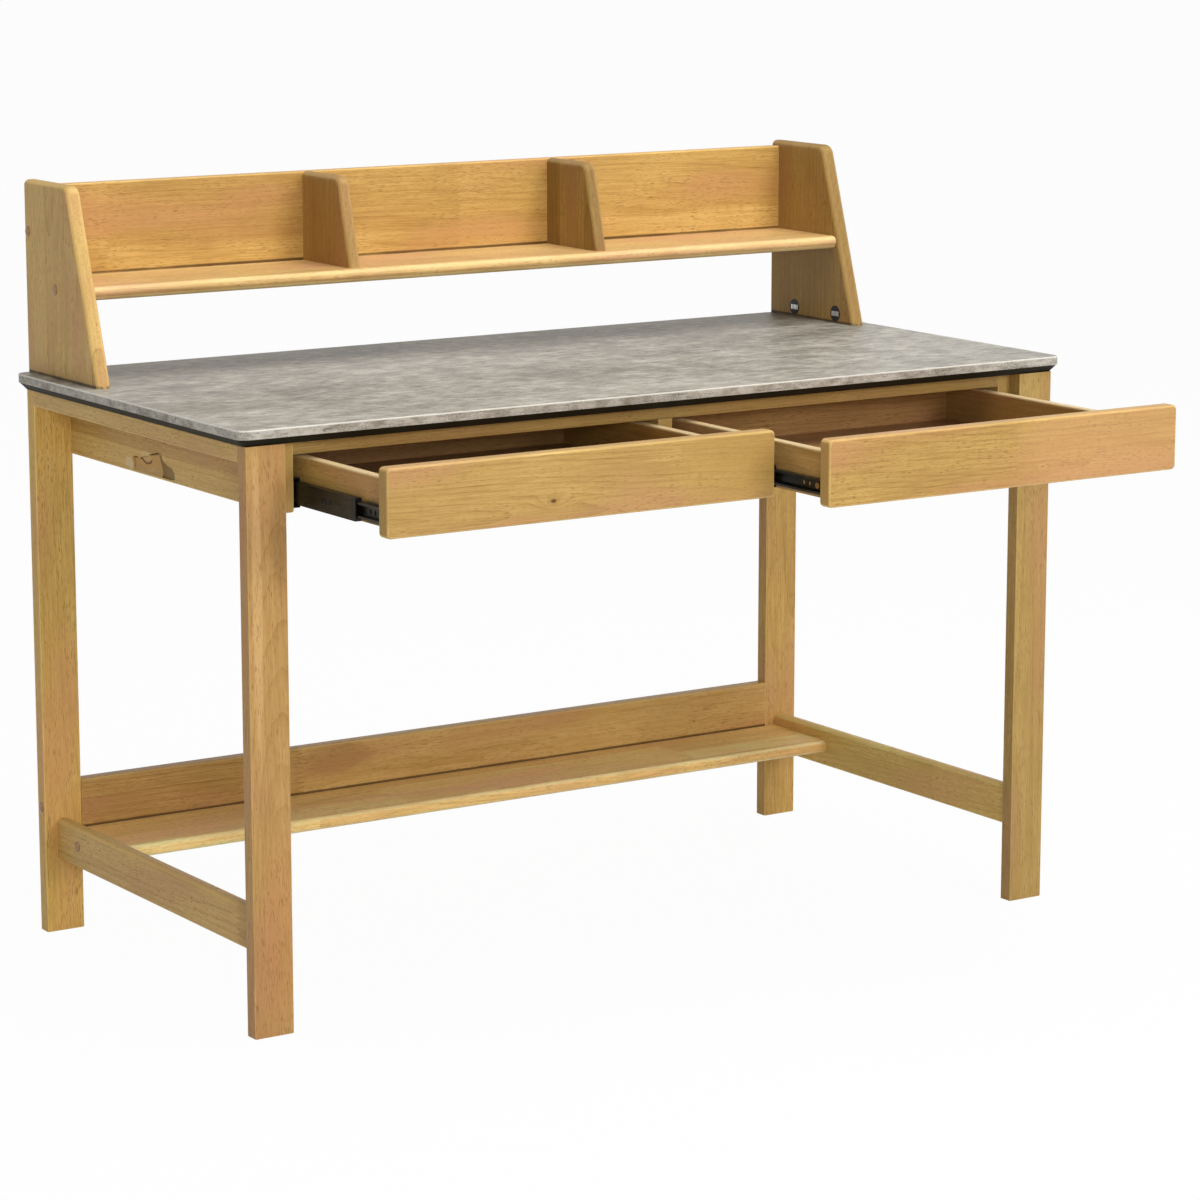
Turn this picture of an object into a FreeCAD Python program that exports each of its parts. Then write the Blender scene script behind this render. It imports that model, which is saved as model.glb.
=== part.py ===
"""Writing desk with a shelf: board legs, two drawers on ball-bearing slides, a low foot shelf
and a small bookshelf with three bays standing along the back of the desk top.

Every size is in millimetres. X runs along the desk to the right, Y from the sitter's side
(minus) to the wall side (plus) and Z up from the floor. The pieces are drawn about the middle
of the legs' footprint, the drawers closed. Each piece's placement then carries it to the
part's own frame, whose origin is the middle of the base of the whole desk as it stands with
its drawers pulled out, and moves what belongs to a drawer out by that drawer's opening.
"""
import FreeCAD, Part
import os
import re
import Sketcher

Vector = FreeCAD.Vector

# Driving sizes
sizes = {
    # desk top: a board with a grey laminate skin that wraps its upper edge
    "top_width": 1200,
    "top_thick": 20,
    "top_side_overhang": 11,
    "top_front_overhang": 7,
    "top_rear_overhang": 10,
    "top_corner_radius": 14,
    "top_bevel": 9,
    "laminate_thick": 0.8,
    "laminate_edge_round": 1.2,
    # legs
    "frame_depth": 576,
    "leg_width": 52,
    "leg_thick": 20,
    "leg_height": 700,
    "leg_round": 2,
    "foot_round": 1.5,
    # rails and boards of the side frames
    "top_rail_width": 50,
    "top_rail_thick": 20,
    "top_rail_round": 1.5,
    "stretcher_thick": 18,
    "stretcher_height": 52,
    "stretcher_floor_gap": 96,
    "stretcher_round": 7,
    # case that holds the drawers
    "case_thick": 22,
    "case_height": 84,
    "case_round": 3,
    "front_rail_thick": 17,
    "front_rail_depth": 60,
    "front_rail_round": 1.5,
    "rear_rail_thick": 20,
    "divider_thick": 20,
    # foot shelf and the board behind it
    "low_shelf_thick": 17,
    "low_shelf_floor_gap": 115,
    "low_shelf_depth": 123,
    "low_shelf_round": 6,
    "low_back_height": 80,
    "low_back_round": 3,
    # bookshelf on the desk top
    "hutch_side_inset": 18.5,
    "hutch_rear_inset": 1,
    "hutch_height": 241,
    "panel_thick": 20,
    "panel_low_depth": 194,
    "panel_high_depth": 118,
    "panel_corner_radius": 15,
    "panel_edge_round": 7,
    "panel_rear_round": 2.5,
    "hutch_shelf_height": 119.5,
    "hutch_shelf_thick": 17,
    "hutch_shelf_depth": 152.5,
    "hutch_shelf_round": 8,
    "hutch_back_thick": 17,
    "hutch_back_height": 114.5,
    "hutch_back_round": 2.5,
    "bay_width": 374.6,
    "bay_divider_thick": 17,
    "bay_divider_low_depth": 123,
    "bay_divider_high_depth": 93,
    "bay_divider_corner_radius": 15,
    "bay_divider_round": 7,
    # drawers
    "left_drawer_open": 214,
    "right_drawer_open": 314,
    "drawer_front_overlap": 11.5,
    "drawer_front_gap": 5,
    "drawer_front_thick": 19,
    "drawer_front_lift": 3,
    "drawer_front_drop": 1,
    "drawer_corner_radius": 6,
    "drawer_edge_round": 4,
    "drawer_back_edge_round": 1.5,
    "drawer_rear_gap": 115,
    "drawer_side_thick": 12,
    "drawer_side_lift": 8,
    "drawer_side_drop": 20,
    "drawer_side_round": 1.5,
    "drawer_bottom_thick": 5,
    "drawer_bottom_lift": 5,
    "groove_depth": 5,
    # ball-bearing slides of three members
    "slide_thick": 12.7,
    "slide_rear_gap": 112.5,
    "slide_centre_lift": 22,
    "slide_gauge": 1.2,
    "slide_play": 0.4,
    "slide_front_setback": 1.5,
    "case_member_height": 35,
    "case_member_depth": 9.5,
    "middle_member_height": 26.7,
    "middle_member_setback": 3,
    "middle_member_depth": 8,
    "middle_member_rear_gap": 20,
    "drawer_member_height": 18.2,
    "drawer_member_depth": 7.6,
    "drawer_member_lip": 1.5,
    "bumper_length": 10,
    "bumper_thick": 1.7,
    "middle_share": 0.65,
    "rail_hole_radius": 2.6,
    "rail_hole_first": 44,
    "rail_hole_second": 55,
    # dowels
    "dowel_radius": 4,
    "dowel_length": 30,
    "dowel_short_end": 12,
    "small_dowel_radius": 3,
    "small_dowel_length": 22,
    "small_dowel_short_end": 8,
    "hole_play": 0.1,
    "hole_end_gap": 1,
    # bolts with threaded inserts and covers
    "bolt_radius": 3,
    "bolt_length": 40,
    "bolt_head_radius": 5,
    "bolt_head_height": 6,
    "bolt_clamp": 10,
    "insert_radius": 5,
    "insert_length": 20,
    "cover_radius": 7,
    "cover_height": 2.5,
    "cover_peg_length": 2,
    "low_back_bolt_height": 163,
    "low_shelf_bolt_setback": 77.5,
    "hutch_back_bolt_height": 177,
    "hutch_shelf_bolt_setback": 73,
    # cam fittings that hold the bookshelf to the desk top
    "cam_housing_radius": 11,
    "cam_housing_depth": 12.7,
    "cam_height": 13,
    "cam_width": 16.5,
    "cam_rise": 7,
    "cam_depth": 9,
    "cam_pin_radius": 3,
    "cam_pin_grip": 12,
    "cam_rear_setback": 57.4,
    "cam_spacing": 95,
    # screws
    "screw_radius": 2,
    "screw_length": 30,
    "screw_head_radius": 4,
    "screw_head_height": 2.5,
    "screw_counterbore": 3,
    "slide_screw_length": 10,
    "slide_screw_head_radius": 3.5,
    "slide_screw_head_height": 1.3,
    "slide_screw_first": 27,
    # natural hollow in the left side of the case
    "hollow_length": 112,
    "hollow_height": 29,
    "hollow_depth": 3,
    "hollow_middle_setback": 226,
    "hollow_lift": 3.5,
}

# How near an edge must lie to its piece's box, as a share of the box's diagonal
near_share = 1e-6
# How much of a tapered board counts as its end, as a share of its size
end_share = 0.1
# Places along a joint, as shares of the length of the joint
pair_shares = (0.25, 0.75)
screw_shares = (0.2, 0.8)
rail_dowel_shares = (0.15, 0.5, 0.85)
slide_screw_shares = (0.0, 0.45, 0.9)
low_back_dowel_shares = (0.2, 0.9)
hollow_outline_shares = (
    (0.50, 0.57), (0.47, 0.07), (0.42, 0.0), (-0.43, 0.0), (-0.50, 0.05), (-0.49, 0.30),
    (-0.44, 0.48), (-0.32, 0.59), (-0.23, 0.72), (-0.19, 0.90), (-0.12, 1.0), (0.02, 0.90),
    (0.09, 0.84), (0.13, 0.74), (0.25, 0.67), (0.32, 0.57), (0.40, 0.61),
)

doc = FreeCAD.newDocument("WritingDesk")
sheet = doc.addObject("Spreadsheet::Sheet", "Sizes")
for row, (alias, value) in enumerate(sizes.items(), start=1):
    sheet.set(f"A{row}", alias)
    sheet.set(f"B{row}", str(value))
    sheet.setAlias(f"B{row}", alias)
doc.recompute()

alias_words = re.compile(r"\b(" + "|".join(sorted(sizes, key=len, reverse=True)) + r")\b")
directions = {
    "+x": Vector(1, 0, 0), "-x": Vector(-1, 0, 0), "+y": Vector(0, 1, 0),
    "-y": Vector(0, -1, 0), "+z": Vector(0, 0, 1), "-z": Vector(0, 0, -1),
}
subparts = []

# Planes that several pieces share, written in the sheet's names
FRONT = "(-frame_depth / 2)"
REAR = "(frame_depth / 2)"
FRONT_LEG_BACK = f"({FRONT} + leg_thick)"
REAR_LEG_FRONT = f"({REAR} - leg_thick)"
LEG_OUTER = "(top_width / 2 - top_side_overhang)"
LEG_INNER = f"({LEG_OUTER} - leg_width)"
CASE_OUTER = f"({LEG_OUTER} - top_rail_width)"
CASE_INNER = f"({CASE_OUTER} - case_thick)"
CASE_LOW = "(leg_height - case_height)"
RAIL_LOW = "(leg_height - front_rail_thick)"
REAR_RAIL_FRONT = f"({REAR_LEG_FRONT} - rear_rail_thick)"
STRETCHER_OUTER = f"({LEG_OUTER} - (leg_width - stretcher_thick) / 2)"
STRETCHER_INNER = f"({STRETCHER_OUTER} - stretcher_thick)"
TOP_FRONT = f"({FRONT} - top_front_overhang)"
TOP_REAR = f"({REAR} + top_rear_overhang)"
TOP_HIGH = "(leg_height + top_thick)"
SHELF_REAR = REAR_LEG_FRONT
SHELF_FRONT = f"({SHELF_REAR} - low_shelf_depth)"
SHELF_MIDDLE_HEIGHT = "(low_shelf_floor_gap + low_shelf_thick / 2)"
HUTCH_OUTER = "(top_width / 2 - hutch_side_inset)"
HUTCH_INNER = f"({HUTCH_OUTER} - panel_thick)"
HUTCH_REAR = f"({TOP_REAR} - hutch_rear_inset)"
HUTCH_BACK_FACE = f"({HUTCH_REAR} - hutch_back_thick)"
HUTCH_HIGH = f"({TOP_HIGH} + hutch_height)"
HUTCH_SHELF_HIGH = f"({TOP_HIGH} + hutch_shelf_height)"
HUTCH_SHELF_LOW = f"({HUTCH_SHELF_HIGH} - hutch_shelf_thick)"
HUTCH_SHELF_FRONT = f"({HUTCH_REAR} - hutch_shelf_depth)"
HUTCH_BACK_HIGH = f"({HUTCH_SHELF_HIGH} + hutch_back_height)"
FRONT_BACK_FACE = f"({FRONT} + drawer_front_thick)"
BOX_OUTER = f"({CASE_INNER} - slide_thick)"
BOX_INNER = "(divider_thick / 2 + slide_thick)"
BOX_HIGH = "(leg_height - drawer_side_drop)"
BOX_LOW = f"({CASE_LOW} + drawer_side_lift)"
BOX_REAR = f"({REAR_RAIL_FRONT} - drawer_rear_gap)"
BOTTOM_LOW = f"({BOX_LOW} + drawer_bottom_lift)"
SLIDE_MIDDLE = f"({CASE_LOW} + slide_centre_lift)"
SLIDE_FRONT = f"({FRONT_LEG_BACK} + slide_front_setback)"
SLIDE_LENGTH = f"({REAR_RAIL_FRONT} - slide_rear_gap - {SLIDE_FRONT})"
MIDDLE_MEMBER_LENGTH = f"({SLIDE_LENGTH} - bumper_length - middle_member_rear_gap)"

# The frame's origin: half the overhang of the furthest drawer against the rear edge
ORIGIN_SHIFT = "(right_drawer_open - top_rear_overhang) / 2"
DRAWER_SHIFT = {-1: f"{ORIGIN_SHIFT} - left_drawer_open", 1: f"{ORIGIN_SHIFT} - right_drawer_open"}
MIDDLE_SHIFT = {
    -1: f"{ORIGIN_SHIFT} - left_drawer_open * middle_share",
    1: f"{ORIGIN_SHIFT} - right_drawer_open * middle_share",
}
SIDE_NAME = {-1: "left", 1: "right"}


# Helpers

def bind(item, **properties):
    """Bind properties to expressions in the sheet's names; two underscores stand for a dot."""
    for name, words in properties.items():
        item.setExpression(name.replace("__", "."), alias_words.sub(r"Sizes.\1", words))


def mirrored(side, low, high):
    """The span of a piece on the right, or its mirror image on the left."""
    return (low, high) if side > 0 else (f"-({high})", f"-({low})")


def signed(side, words):
    return words if side > 0 else f"-({words})"


def towards(side, direction):
    """The same direction on the right, or its mirror image on the left."""
    if side > 0 or direction[1] != "x":
        return direction
    return ("-" if direction[0] == "+" else "+") + "x"


def opposite(direction):
    return ("-" if direction[0] == "+" else "+") + direction[1]


def step(at, direction, distance):
    """A point moved along a direction by a distance, all of them expressions."""
    moved = list(at)
    index = "xyz".index(direction[1])
    moved[index] = f"{at[index]} {direction[0]} ({distance})"
    return tuple(moved)


def stand(item, at, direction="+z"):
    """Place a primitive at a point with its own axis along a direction."""
    item.Placement = FreeCAD.Placement(Vector(), FreeCAD.Rotation(Vector(0, 0, 1), directions[direction]))
    bind(item, Placement__Base__x=at[0], Placement__Base__y=at[1], Placement__Base__z=at[2])


def keep(item, label, shift=ORIGIN_SHIFT):
    """Give a finished sub-part its label and its place in the part's frame."""
    item.Label = label
    bind(item, Placement__Base__y=shift)
    subparts.append(item)
    return item


def board(label, x, y, z, shift=ORIGIN_SHIFT):
    """A sawn board between two planes on each axis."""
    body = keep(doc.addObject("PartDesign::Body", label), label, shift)
    block = body.newObject("PartDesign::AdditiveBox", f"{label}_board")
    bind(block, Length=f"{x[1]} - ({x[0]})", Width=f"{y[1]} - ({y[0]})", Height=f"{z[1]} - ({z[0]})")
    stand(block, (x[0], y[0], z[0]))
    doc.recompute()
    return body


def edges_at(body, along=None, **where):
    """The names of the last feature's edges that lie on the named sides of its box."""
    shape = body.Tip.Shape
    box = shape.BoundBox
    near = box.DiagonalLength * near_share
    ends = {"x": (box.XMin, box.XMax), "y": (box.YMin, box.YMax), "z": (box.ZMin, box.ZMax)}
    names = []
    for number, edge in enumerate(shape.Edges, start=1):
        span = edge.BoundBox
        spans = {"x": (span.XMin, span.XMax), "y": (span.YMin, span.YMax), "z": (span.ZMin, span.ZMax)}
        if along and spans[along][1] - spans[along][0] < (ends[along][1] - ends[along][0]) / 2:
            continue
        sides = [(axis, ends[axis][0] if side == "min" else ends[axis][1]) for axis, side in where.items()]
        if all(abs(spans[axis][k] - level) < near for axis, level in sides for k in (0, 1)):
            names.append(f"Edge{number}")
    return names


def round_edges(body, radius, names):
    """Round the named edges of the body's last feature."""
    base = body.Tip
    fillet = body.newObject("PartDesign::Fillet", f"{body.Name}_round")
    fillet.Base = (base, names)
    bind(fillet, Radius=radius)
    doc.recompute()
    return fillet


def drill(body, at, direction, radius, depth):
    """A round hole that starts at a point and runs a depth along a direction."""
    hole = body.newObject("PartDesign::SubtractiveCylinder", f"{body.Name}_hole")
    bind(hole, Radius=radius, Height=depth)
    stand(hole, at, direction)
    return hole


def groove(body, x, y, z):
    """A square cut between two planes on each axis."""
    cut = body.newObject("PartDesign::SubtractiveBox", f"{body.Name}_groove")
    bind(cut, Length=f"{x[1]} - ({x[0]})", Width=f"{y[1]} - ({y[0]})", Height=f"{z[1]} - ({z[0]})")
    stand(cut, (x[0], y[0], z[0]))
    return cut


def outline(body, role, points):
    """A closed sketch of straight lines on one of the body's own planes, each corner bound."""
    plane = next(item for item in body.Origin.OriginFeatures if item.Role == role)
    sketch = body.newObject("Sketcher::SketchObject", f"{body.Name}_outline")
    sketch.AttachmentSupport = [(plane, "")]
    sketch.MapMode = "FlatFace"
    count = len(points)
    ring = Part.makeCircle(count).discretize(count + 1)
    for index in range(count):
        sketch.addGeometry(Part.LineSegment(ring[index], ring[index + 1]), False)
    for index in range(count):
        sketch.addConstraint(Sketcher.Constraint("Coincident", index, 2, (index + 1) % count, 1))
    for index, corner in enumerate(points):
        for kind, words, start in zip(("DistanceX", "DistanceY"), corner, (ring[index].x, ring[index].y)):
            number = sketch.addConstraint(Sketcher.Constraint(kind, -1, 1, index, 1, start))
            bind(sketch, **{f"Constraints[{number}]": words})
    return sketch


def rod(name, at, direction, radius, length):
    """A plain round pin."""
    pin = doc.addObject("Part::Cylinder", name)
    bind(pin, Radius=radius, Height=length)
    stand(pin, at, direction)
    return pin


def headed(name, at, direction, radius, length, head_radius, head_height):
    """A fastener whose head's underside lies at a point and whose shank runs along a direction."""
    fastener = doc.addObject("Part::Fuse", name)
    fastener.Base = rod(f"{name}_shank", at, direction, radius, length)
    fastener.Tool = rod(f"{name}_head", at, opposite(direction), head_radius, head_height)
    return fastener


def group(label, items, shift=ORIGIN_SHIFT):
    """Like fasteners in one node, each still a solid of its own."""
    together = doc.addObject("Part::Compound", label)
    together.Links = items
    return keep(together, label, shift)


def between(low, high, share):
    return f"{low} + ({high} - ({low})) * {share}"


# Desk top

def desk_top():
    """The board with its black bevelled underside, and the laminate skin over it."""
    core = board(
        "desk_top_core",
        ("-top_width / 2 + laminate_thick", "top_width / 2 - laminate_thick"),
        (f"{TOP_FRONT} + laminate_thick", f"{TOP_REAR} - laminate_thick"),
        ("leg_height", f"{TOP_HIGH} - laminate_thick"),
    )
    rounded = round_edges(core, "top_corner_radius - laminate_thick", edges_at(core, along="z"))
    under = edges_at(core, z="min")
    bevel = core.newObject("PartDesign::Chamfer", "desk_top_bevel")
    bevel.Base = (rounded, under)
    bind(bevel, Size="top_bevel")
    skin = board(
        "desk_top_laminate",
        ("-top_width / 2", "top_width / 2"),
        (TOP_FRONT, TOP_REAR),
        ("leg_height + top_bevel", TOP_HIGH),
    )
    slab = round_edges(skin, "top_corner_radius", edges_at(skin, along="z"))
    middle = slab.Shape.BoundBox.Center.z
    faces = enumerate(slab.Shape.Faces, start=1)
    underside = [f"Face{number}" for number, face in faces if face.BoundBox.ZMax < middle]
    hollow = skin.newObject("PartDesign::Thickness", "laminate_inside")
    hollow.Base = (slab, underside)
    bind(hollow, Value="laminate_thick")
    hollow.Reversed = True
    doc.recompute()
    round_edges(skin, "laminate_edge_round", edges_at(skin, z="max"))
    return core, skin


# Side frames

def leg(side, end):
    """A board leg, broad across the desk; end is -1 at the front and 1 at the rear."""
    y = (FRONT, FRONT_LEG_BACK) if end < 0 else (REAR_LEG_FRONT, REAR)
    name = ("front" if end < 0 else "rear") + f"_{SIDE_NAME[side]}_leg"
    body = board(name, mirrored(side, LEG_INNER, LEG_OUTER), y, ("0", "leg_height"))
    round_edges(body, "leg_round", edges_at(body, along="z"))
    round_edges(body, "foot_round", edges_at(body, z="min"))
    return body


def top_rail(side):
    """The flat rail between the front and rear leg, directly under the desk top."""
    body = board(
        f"{SIDE_NAME[side]}_top_rail",
        mirrored(side, CASE_OUTER, LEG_OUTER),
        (FRONT_LEG_BACK, REAR_LEG_FRONT),
        ("leg_height - top_rail_thick", "leg_height"),
    )
    outer = "max" if side > 0 else "min"
    round_edges(body, "top_rail_round", edges_at(body, along="y", x=outer))
    return body


def stretcher(side):
    """The low rail between the legs, its upper edges well rounded."""
    body = board(
        f"{SIDE_NAME[side]}_stretcher",
        mirrored(side, STRETCHER_INNER, STRETCHER_OUTER),
        (FRONT_LEG_BACK, REAR_LEG_FRONT),
        ("stretcher_floor_gap", "stretcher_floor_gap + stretcher_height"),
    )
    round_edges(body, "stretcher_round", edges_at(body, along="y", z="max"))
    round_edges(body, "leg_round", edges_at(body, along="y", z="min"))
    return body


# Drawer case

def case_side(side):
    body = board(
        f"{SIDE_NAME[side]}_case_side",
        mirrored(side, CASE_INNER, CASE_OUTER),
        (FRONT_LEG_BACK, REAR_LEG_FRONT),
        (CASE_LOW, "leg_height"),
    )
    round_edges(body, "case_round", edges_at(body, along="y", z="min"))
    return body


def case_hollow(body):
    """The natural hollow in the outer face of the left board, as shares of its length and height."""
    middle = f"({REAR_LEG_FRONT} - hollow_middle_setback)"
    points = [
        (f"{middle} + hollow_length * ({along})", f"{CASE_LOW} + hollow_lift + hollow_height * {up}")
        for along, up in hollow_outline_shares
    ]
    sketch = outline(body, "YZ_Plane", points)
    bind(sketch, AttachmentOffset__Base__z=f"-{CASE_OUTER}")
    pocket = body.newObject("PartDesign::Pocket", "case_hollow")
    pocket.Profile = sketch
    pocket.Reversed = True
    bind(pocket, Length="hollow_depth")
    doc.recompute()
    return pocket


def case_rails():
    """The flat front rail, the rear rail on edge and the divider between the drawers."""
    front = board(
        "front_rail",
        (f"-{CASE_INNER}", CASE_INNER),
        (FRONT_LEG_BACK, f"{FRONT_LEG_BACK} + front_rail_depth"),
        (RAIL_LOW, "leg_height"),
    )
    round_edges(front, "front_rail_round", edges_at(front, along="x", y="min", z="min"))
    rear = board(
        "rear_rail",
        (f"-{CASE_INNER}", CASE_INNER),
        (REAR_RAIL_FRONT, REAR_LEG_FRONT),
        (CASE_LOW, "leg_height"),
    )
    divider = board(
        "centre_divider",
        ("-divider_thick / 2", "divider_thick / 2"),
        (FRONT_LEG_BACK, REAR_RAIL_FRONT),
        (CASE_LOW, RAIL_LOW),
    )
    round_edges(divider, "front_rail_round", edges_at(divider, along="y", z="min"))
    return front, rear, divider


# Foot shelf

def foot_shelf():
    shelf = board(
        "lower_shelf",
        (f"-{STRETCHER_INNER}", STRETCHER_INNER),
        (SHELF_FRONT, SHELF_REAR),
        ("low_shelf_floor_gap", "low_shelf_floor_gap + low_shelf_thick"),
    )
    round_edges(shelf, "low_shelf_round", edges_at(shelf, along="x", y="min"))
    back = board(
        "lower_back_board",
        (f"-{LEG_INNER}", LEG_INNER),
        (REAR_LEG_FRONT, REAR),
        ("low_shelf_floor_gap", "low_shelf_floor_gap + low_back_height"),
    )
    round_edges(back, "low_back_round", edges_at(back, along="x", z="max"))
    return shelf, back


# Bookshelf

def tapered(label, x, rear, low, high, low_depth, high_depth, corner, edge):
    """An upright board whose front edge leans back, rounded along its front and top."""
    body = keep(doc.addObject("PartDesign::Body", label), label)
    points = [(rear, low), (f"{rear} - {low_depth}", low), (f"{rear} - {high_depth}", high), (rear, high)]
    sketch = outline(body, "YZ_Plane", points)
    bind(sketch, AttachmentOffset__Base__z=x[0])
    pad = body.newObject("PartDesign::Pad", f"{label}_pad")
    pad.Profile = sketch
    bind(pad, Length=f"{x[1]} - ({x[0]})")
    doc.recompute()
    top_edges = edges_at(body, along="x", z="max")
    box = pad.Shape.BoundBox
    behind = box.YMax - box.YLength * end_share
    front_top = [name for name in top_edges if pad.Shape.getElement(name).BoundBox.YMax < behind]
    round_edges(body, corner, front_top)
    chain = []
    shape = body.Tip.Shape
    for number, item in enumerate(shape.Edges, start=1):
        span = item.BoundBox
        flat = span.XLength < box.XLength * end_share
        at_foot = span.ZMax < box.ZMin + box.ZLength * end_share
        at_rear = span.YMin > behind
        if flat and not at_foot and not at_rear:
            chain.append(f"Edge{number}")
    round_edges(body, edge, chain)
    return body


def bookshelf():
    panels = {}
    for side in (-1, 1):
        panels[side] = tapered(
            f"hutch_{SIDE_NAME[side]}_panel",
            mirrored(side, HUTCH_INNER, HUTCH_OUTER),
            HUTCH_REAR, TOP_HIGH, HUTCH_HIGH,
            "panel_low_depth", "panel_high_depth", "panel_corner_radius", "panel_edge_round",
        )
        foot_edges = edges_at(panels[side], z="min")
        rear_loop = [name for name in edges_at(panels[side], y="max") if name not in foot_edges]
        round_edges(panels[side], "panel_rear_round", rear_loop)
    shelf = board(
        "hutch_shelf",
        (f"-{HUTCH_INNER}", HUTCH_INNER),
        (HUTCH_SHELF_FRONT, HUTCH_REAR),
        (HUTCH_SHELF_LOW, HUTCH_SHELF_HIGH),
    )
    round_edges(shelf, "hutch_shelf_round", edges_at(shelf, along="x", y="min"))
    back = board(
        "hutch_back_board",
        (f"-{HUTCH_INNER}", HUTCH_INNER),
        (HUTCH_BACK_FACE, HUTCH_REAR),
        (HUTCH_SHELF_HIGH, HUTCH_BACK_HIGH),
    )
    round_edges(back, "hutch_back_round", edges_at(back, along="x", z="max"))
    dividers = {}
    for side in (-1, 1):
        dividers[side] = tapered(
            f"hutch_{SIDE_NAME[side]}_divider",
            mirrored(side, "(bay_width - bay_divider_thick) / 2", "(bay_width + bay_divider_thick) / 2"),
            HUTCH_BACK_FACE, HUTCH_SHELF_HIGH, HUTCH_BACK_HIGH,
            "bay_divider_low_depth", "bay_divider_high_depth",
            "bay_divider_corner_radius", "bay_divider_round",
        )
    return panels, shelf, back, dividers


# Drawers

def drawer(side):
    """A front, two sides, a back and a bottom held in grooves."""
    name = f"{SIDE_NAME[side]}_drawer"
    shift = DRAWER_SHIFT[side]
    front = board(
        f"{name}_front",
        mirrored(side, "drawer_front_gap / 2", f"{CASE_INNER} + drawer_front_overlap"),
        (FRONT, FRONT_BACK_FACE),
        (f"{CASE_LOW} + drawer_front_lift", "leg_height - drawer_front_drop"),
        shift,
    )
    round_edges(front, "drawer_corner_radius", edges_at(front, along="y"))
    round_edges(front, "drawer_edge_round", edges_at(front, y="min"))
    round_edges(front, "drawer_back_edge_round", edges_at(front, y="max"))
    walls = {}
    spans = {
        "outer": (f"{BOX_OUTER} - drawer_side_thick", BOX_OUTER),
        "inner": (BOX_INNER, f"{BOX_INNER} + drawer_side_thick"),
    }
    box_depth = (FRONT_BACK_FACE, BOX_REAR)
    box_height = (BOX_LOW, BOX_HIGH)
    for place, span in spans.items():
        wall = board(f"{name}_{place}_side", mirrored(side, *span), box_depth, box_height, shift)
        round_edges(wall, "drawer_side_round", edges_at(wall, along="y", z="max"))
        walls[place] = wall
    inside = (spans["inner"][1], spans["outer"][0])
    back_depth = (f"{BOX_REAR} - drawer_side_thick", BOX_REAR)
    walls["back"] = board(f"{name}_back", mirrored(side, *inside), back_depth, box_height, shift)
    round_edges(walls["back"], "drawer_side_round", edges_at(walls["back"], along="x", z="max"))
    x = mirrored(side, f"{inside[0]} - groove_depth", f"{inside[1]} + groove_depth")
    y = (f"{FRONT_BACK_FACE} - groove_depth", f"{BOX_REAR} - drawer_side_thick + groove_depth")
    z = (BOTTOM_LOW, f"{BOTTOM_LOW} + drawer_bottom_thick")
    board(f"{name}_bottom", x, y, z, shift)
    for piece in (front, walls["outer"], walls["inner"], walls["back"]):
        groove(piece, x, y, z)
    return {"front": front, **walls}


# Slides

def channel(label, side, hand, start, depth, height, lip, length, front, shift):
    """A folded channel: its web at one offset from the board, its lips a depth further on.

    hand is 1 where the slide lies on the drawer's outer side and -1 on its inner side.
    """
    wall = CASE_INNER if hand > 0 else "divider_thick / 2"
    to_drawer = "-" if hand > 0 else "+"

    def at(offset, level):
        return signed(side, f"{wall} {to_drawer} ({offset})"), f"{SLIDE_MIDDLE} + ({level})"

    web, fold = f"{start}", f"{start} + ({depth}) * slide_gauge / abs({depth})"
    lips, lip_back = f"{start} + ({depth})", f"{start} + ({depth}) - ({depth}) * slide_gauge / abs({depth})"
    half, tip = f"{height} / 2", f"{height} / 2 - ({lip})"
    inner = f"{height} / 2 - slide_gauge"
    points = [
        at(web, f"-({half})"), at(lips, f"-({half})"), at(lips, f"-({tip})"), at(lip_back, f"-({tip})"),
        at(lip_back, f"-({inner})"), at(fold, f"-({inner})"), at(fold, inner), at(lip_back, inner),
        at(lip_back, tip), at(lips, tip), at(lips, half), at(web, half),
    ]
    body = keep(doc.addObject("PartDesign::Body", label), label, shift)
    sketch = outline(body, "XZ_Plane", points)
    bind(sketch, AttachmentOffset__Base__z=f"-({front})")
    pad = body.newObject("PartDesign::Pad", f"{label}_pad")
    pad.Profile = sketch
    pad.Reversed = True
    bind(pad, Length=length)
    doc.recompute()
    return body


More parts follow.
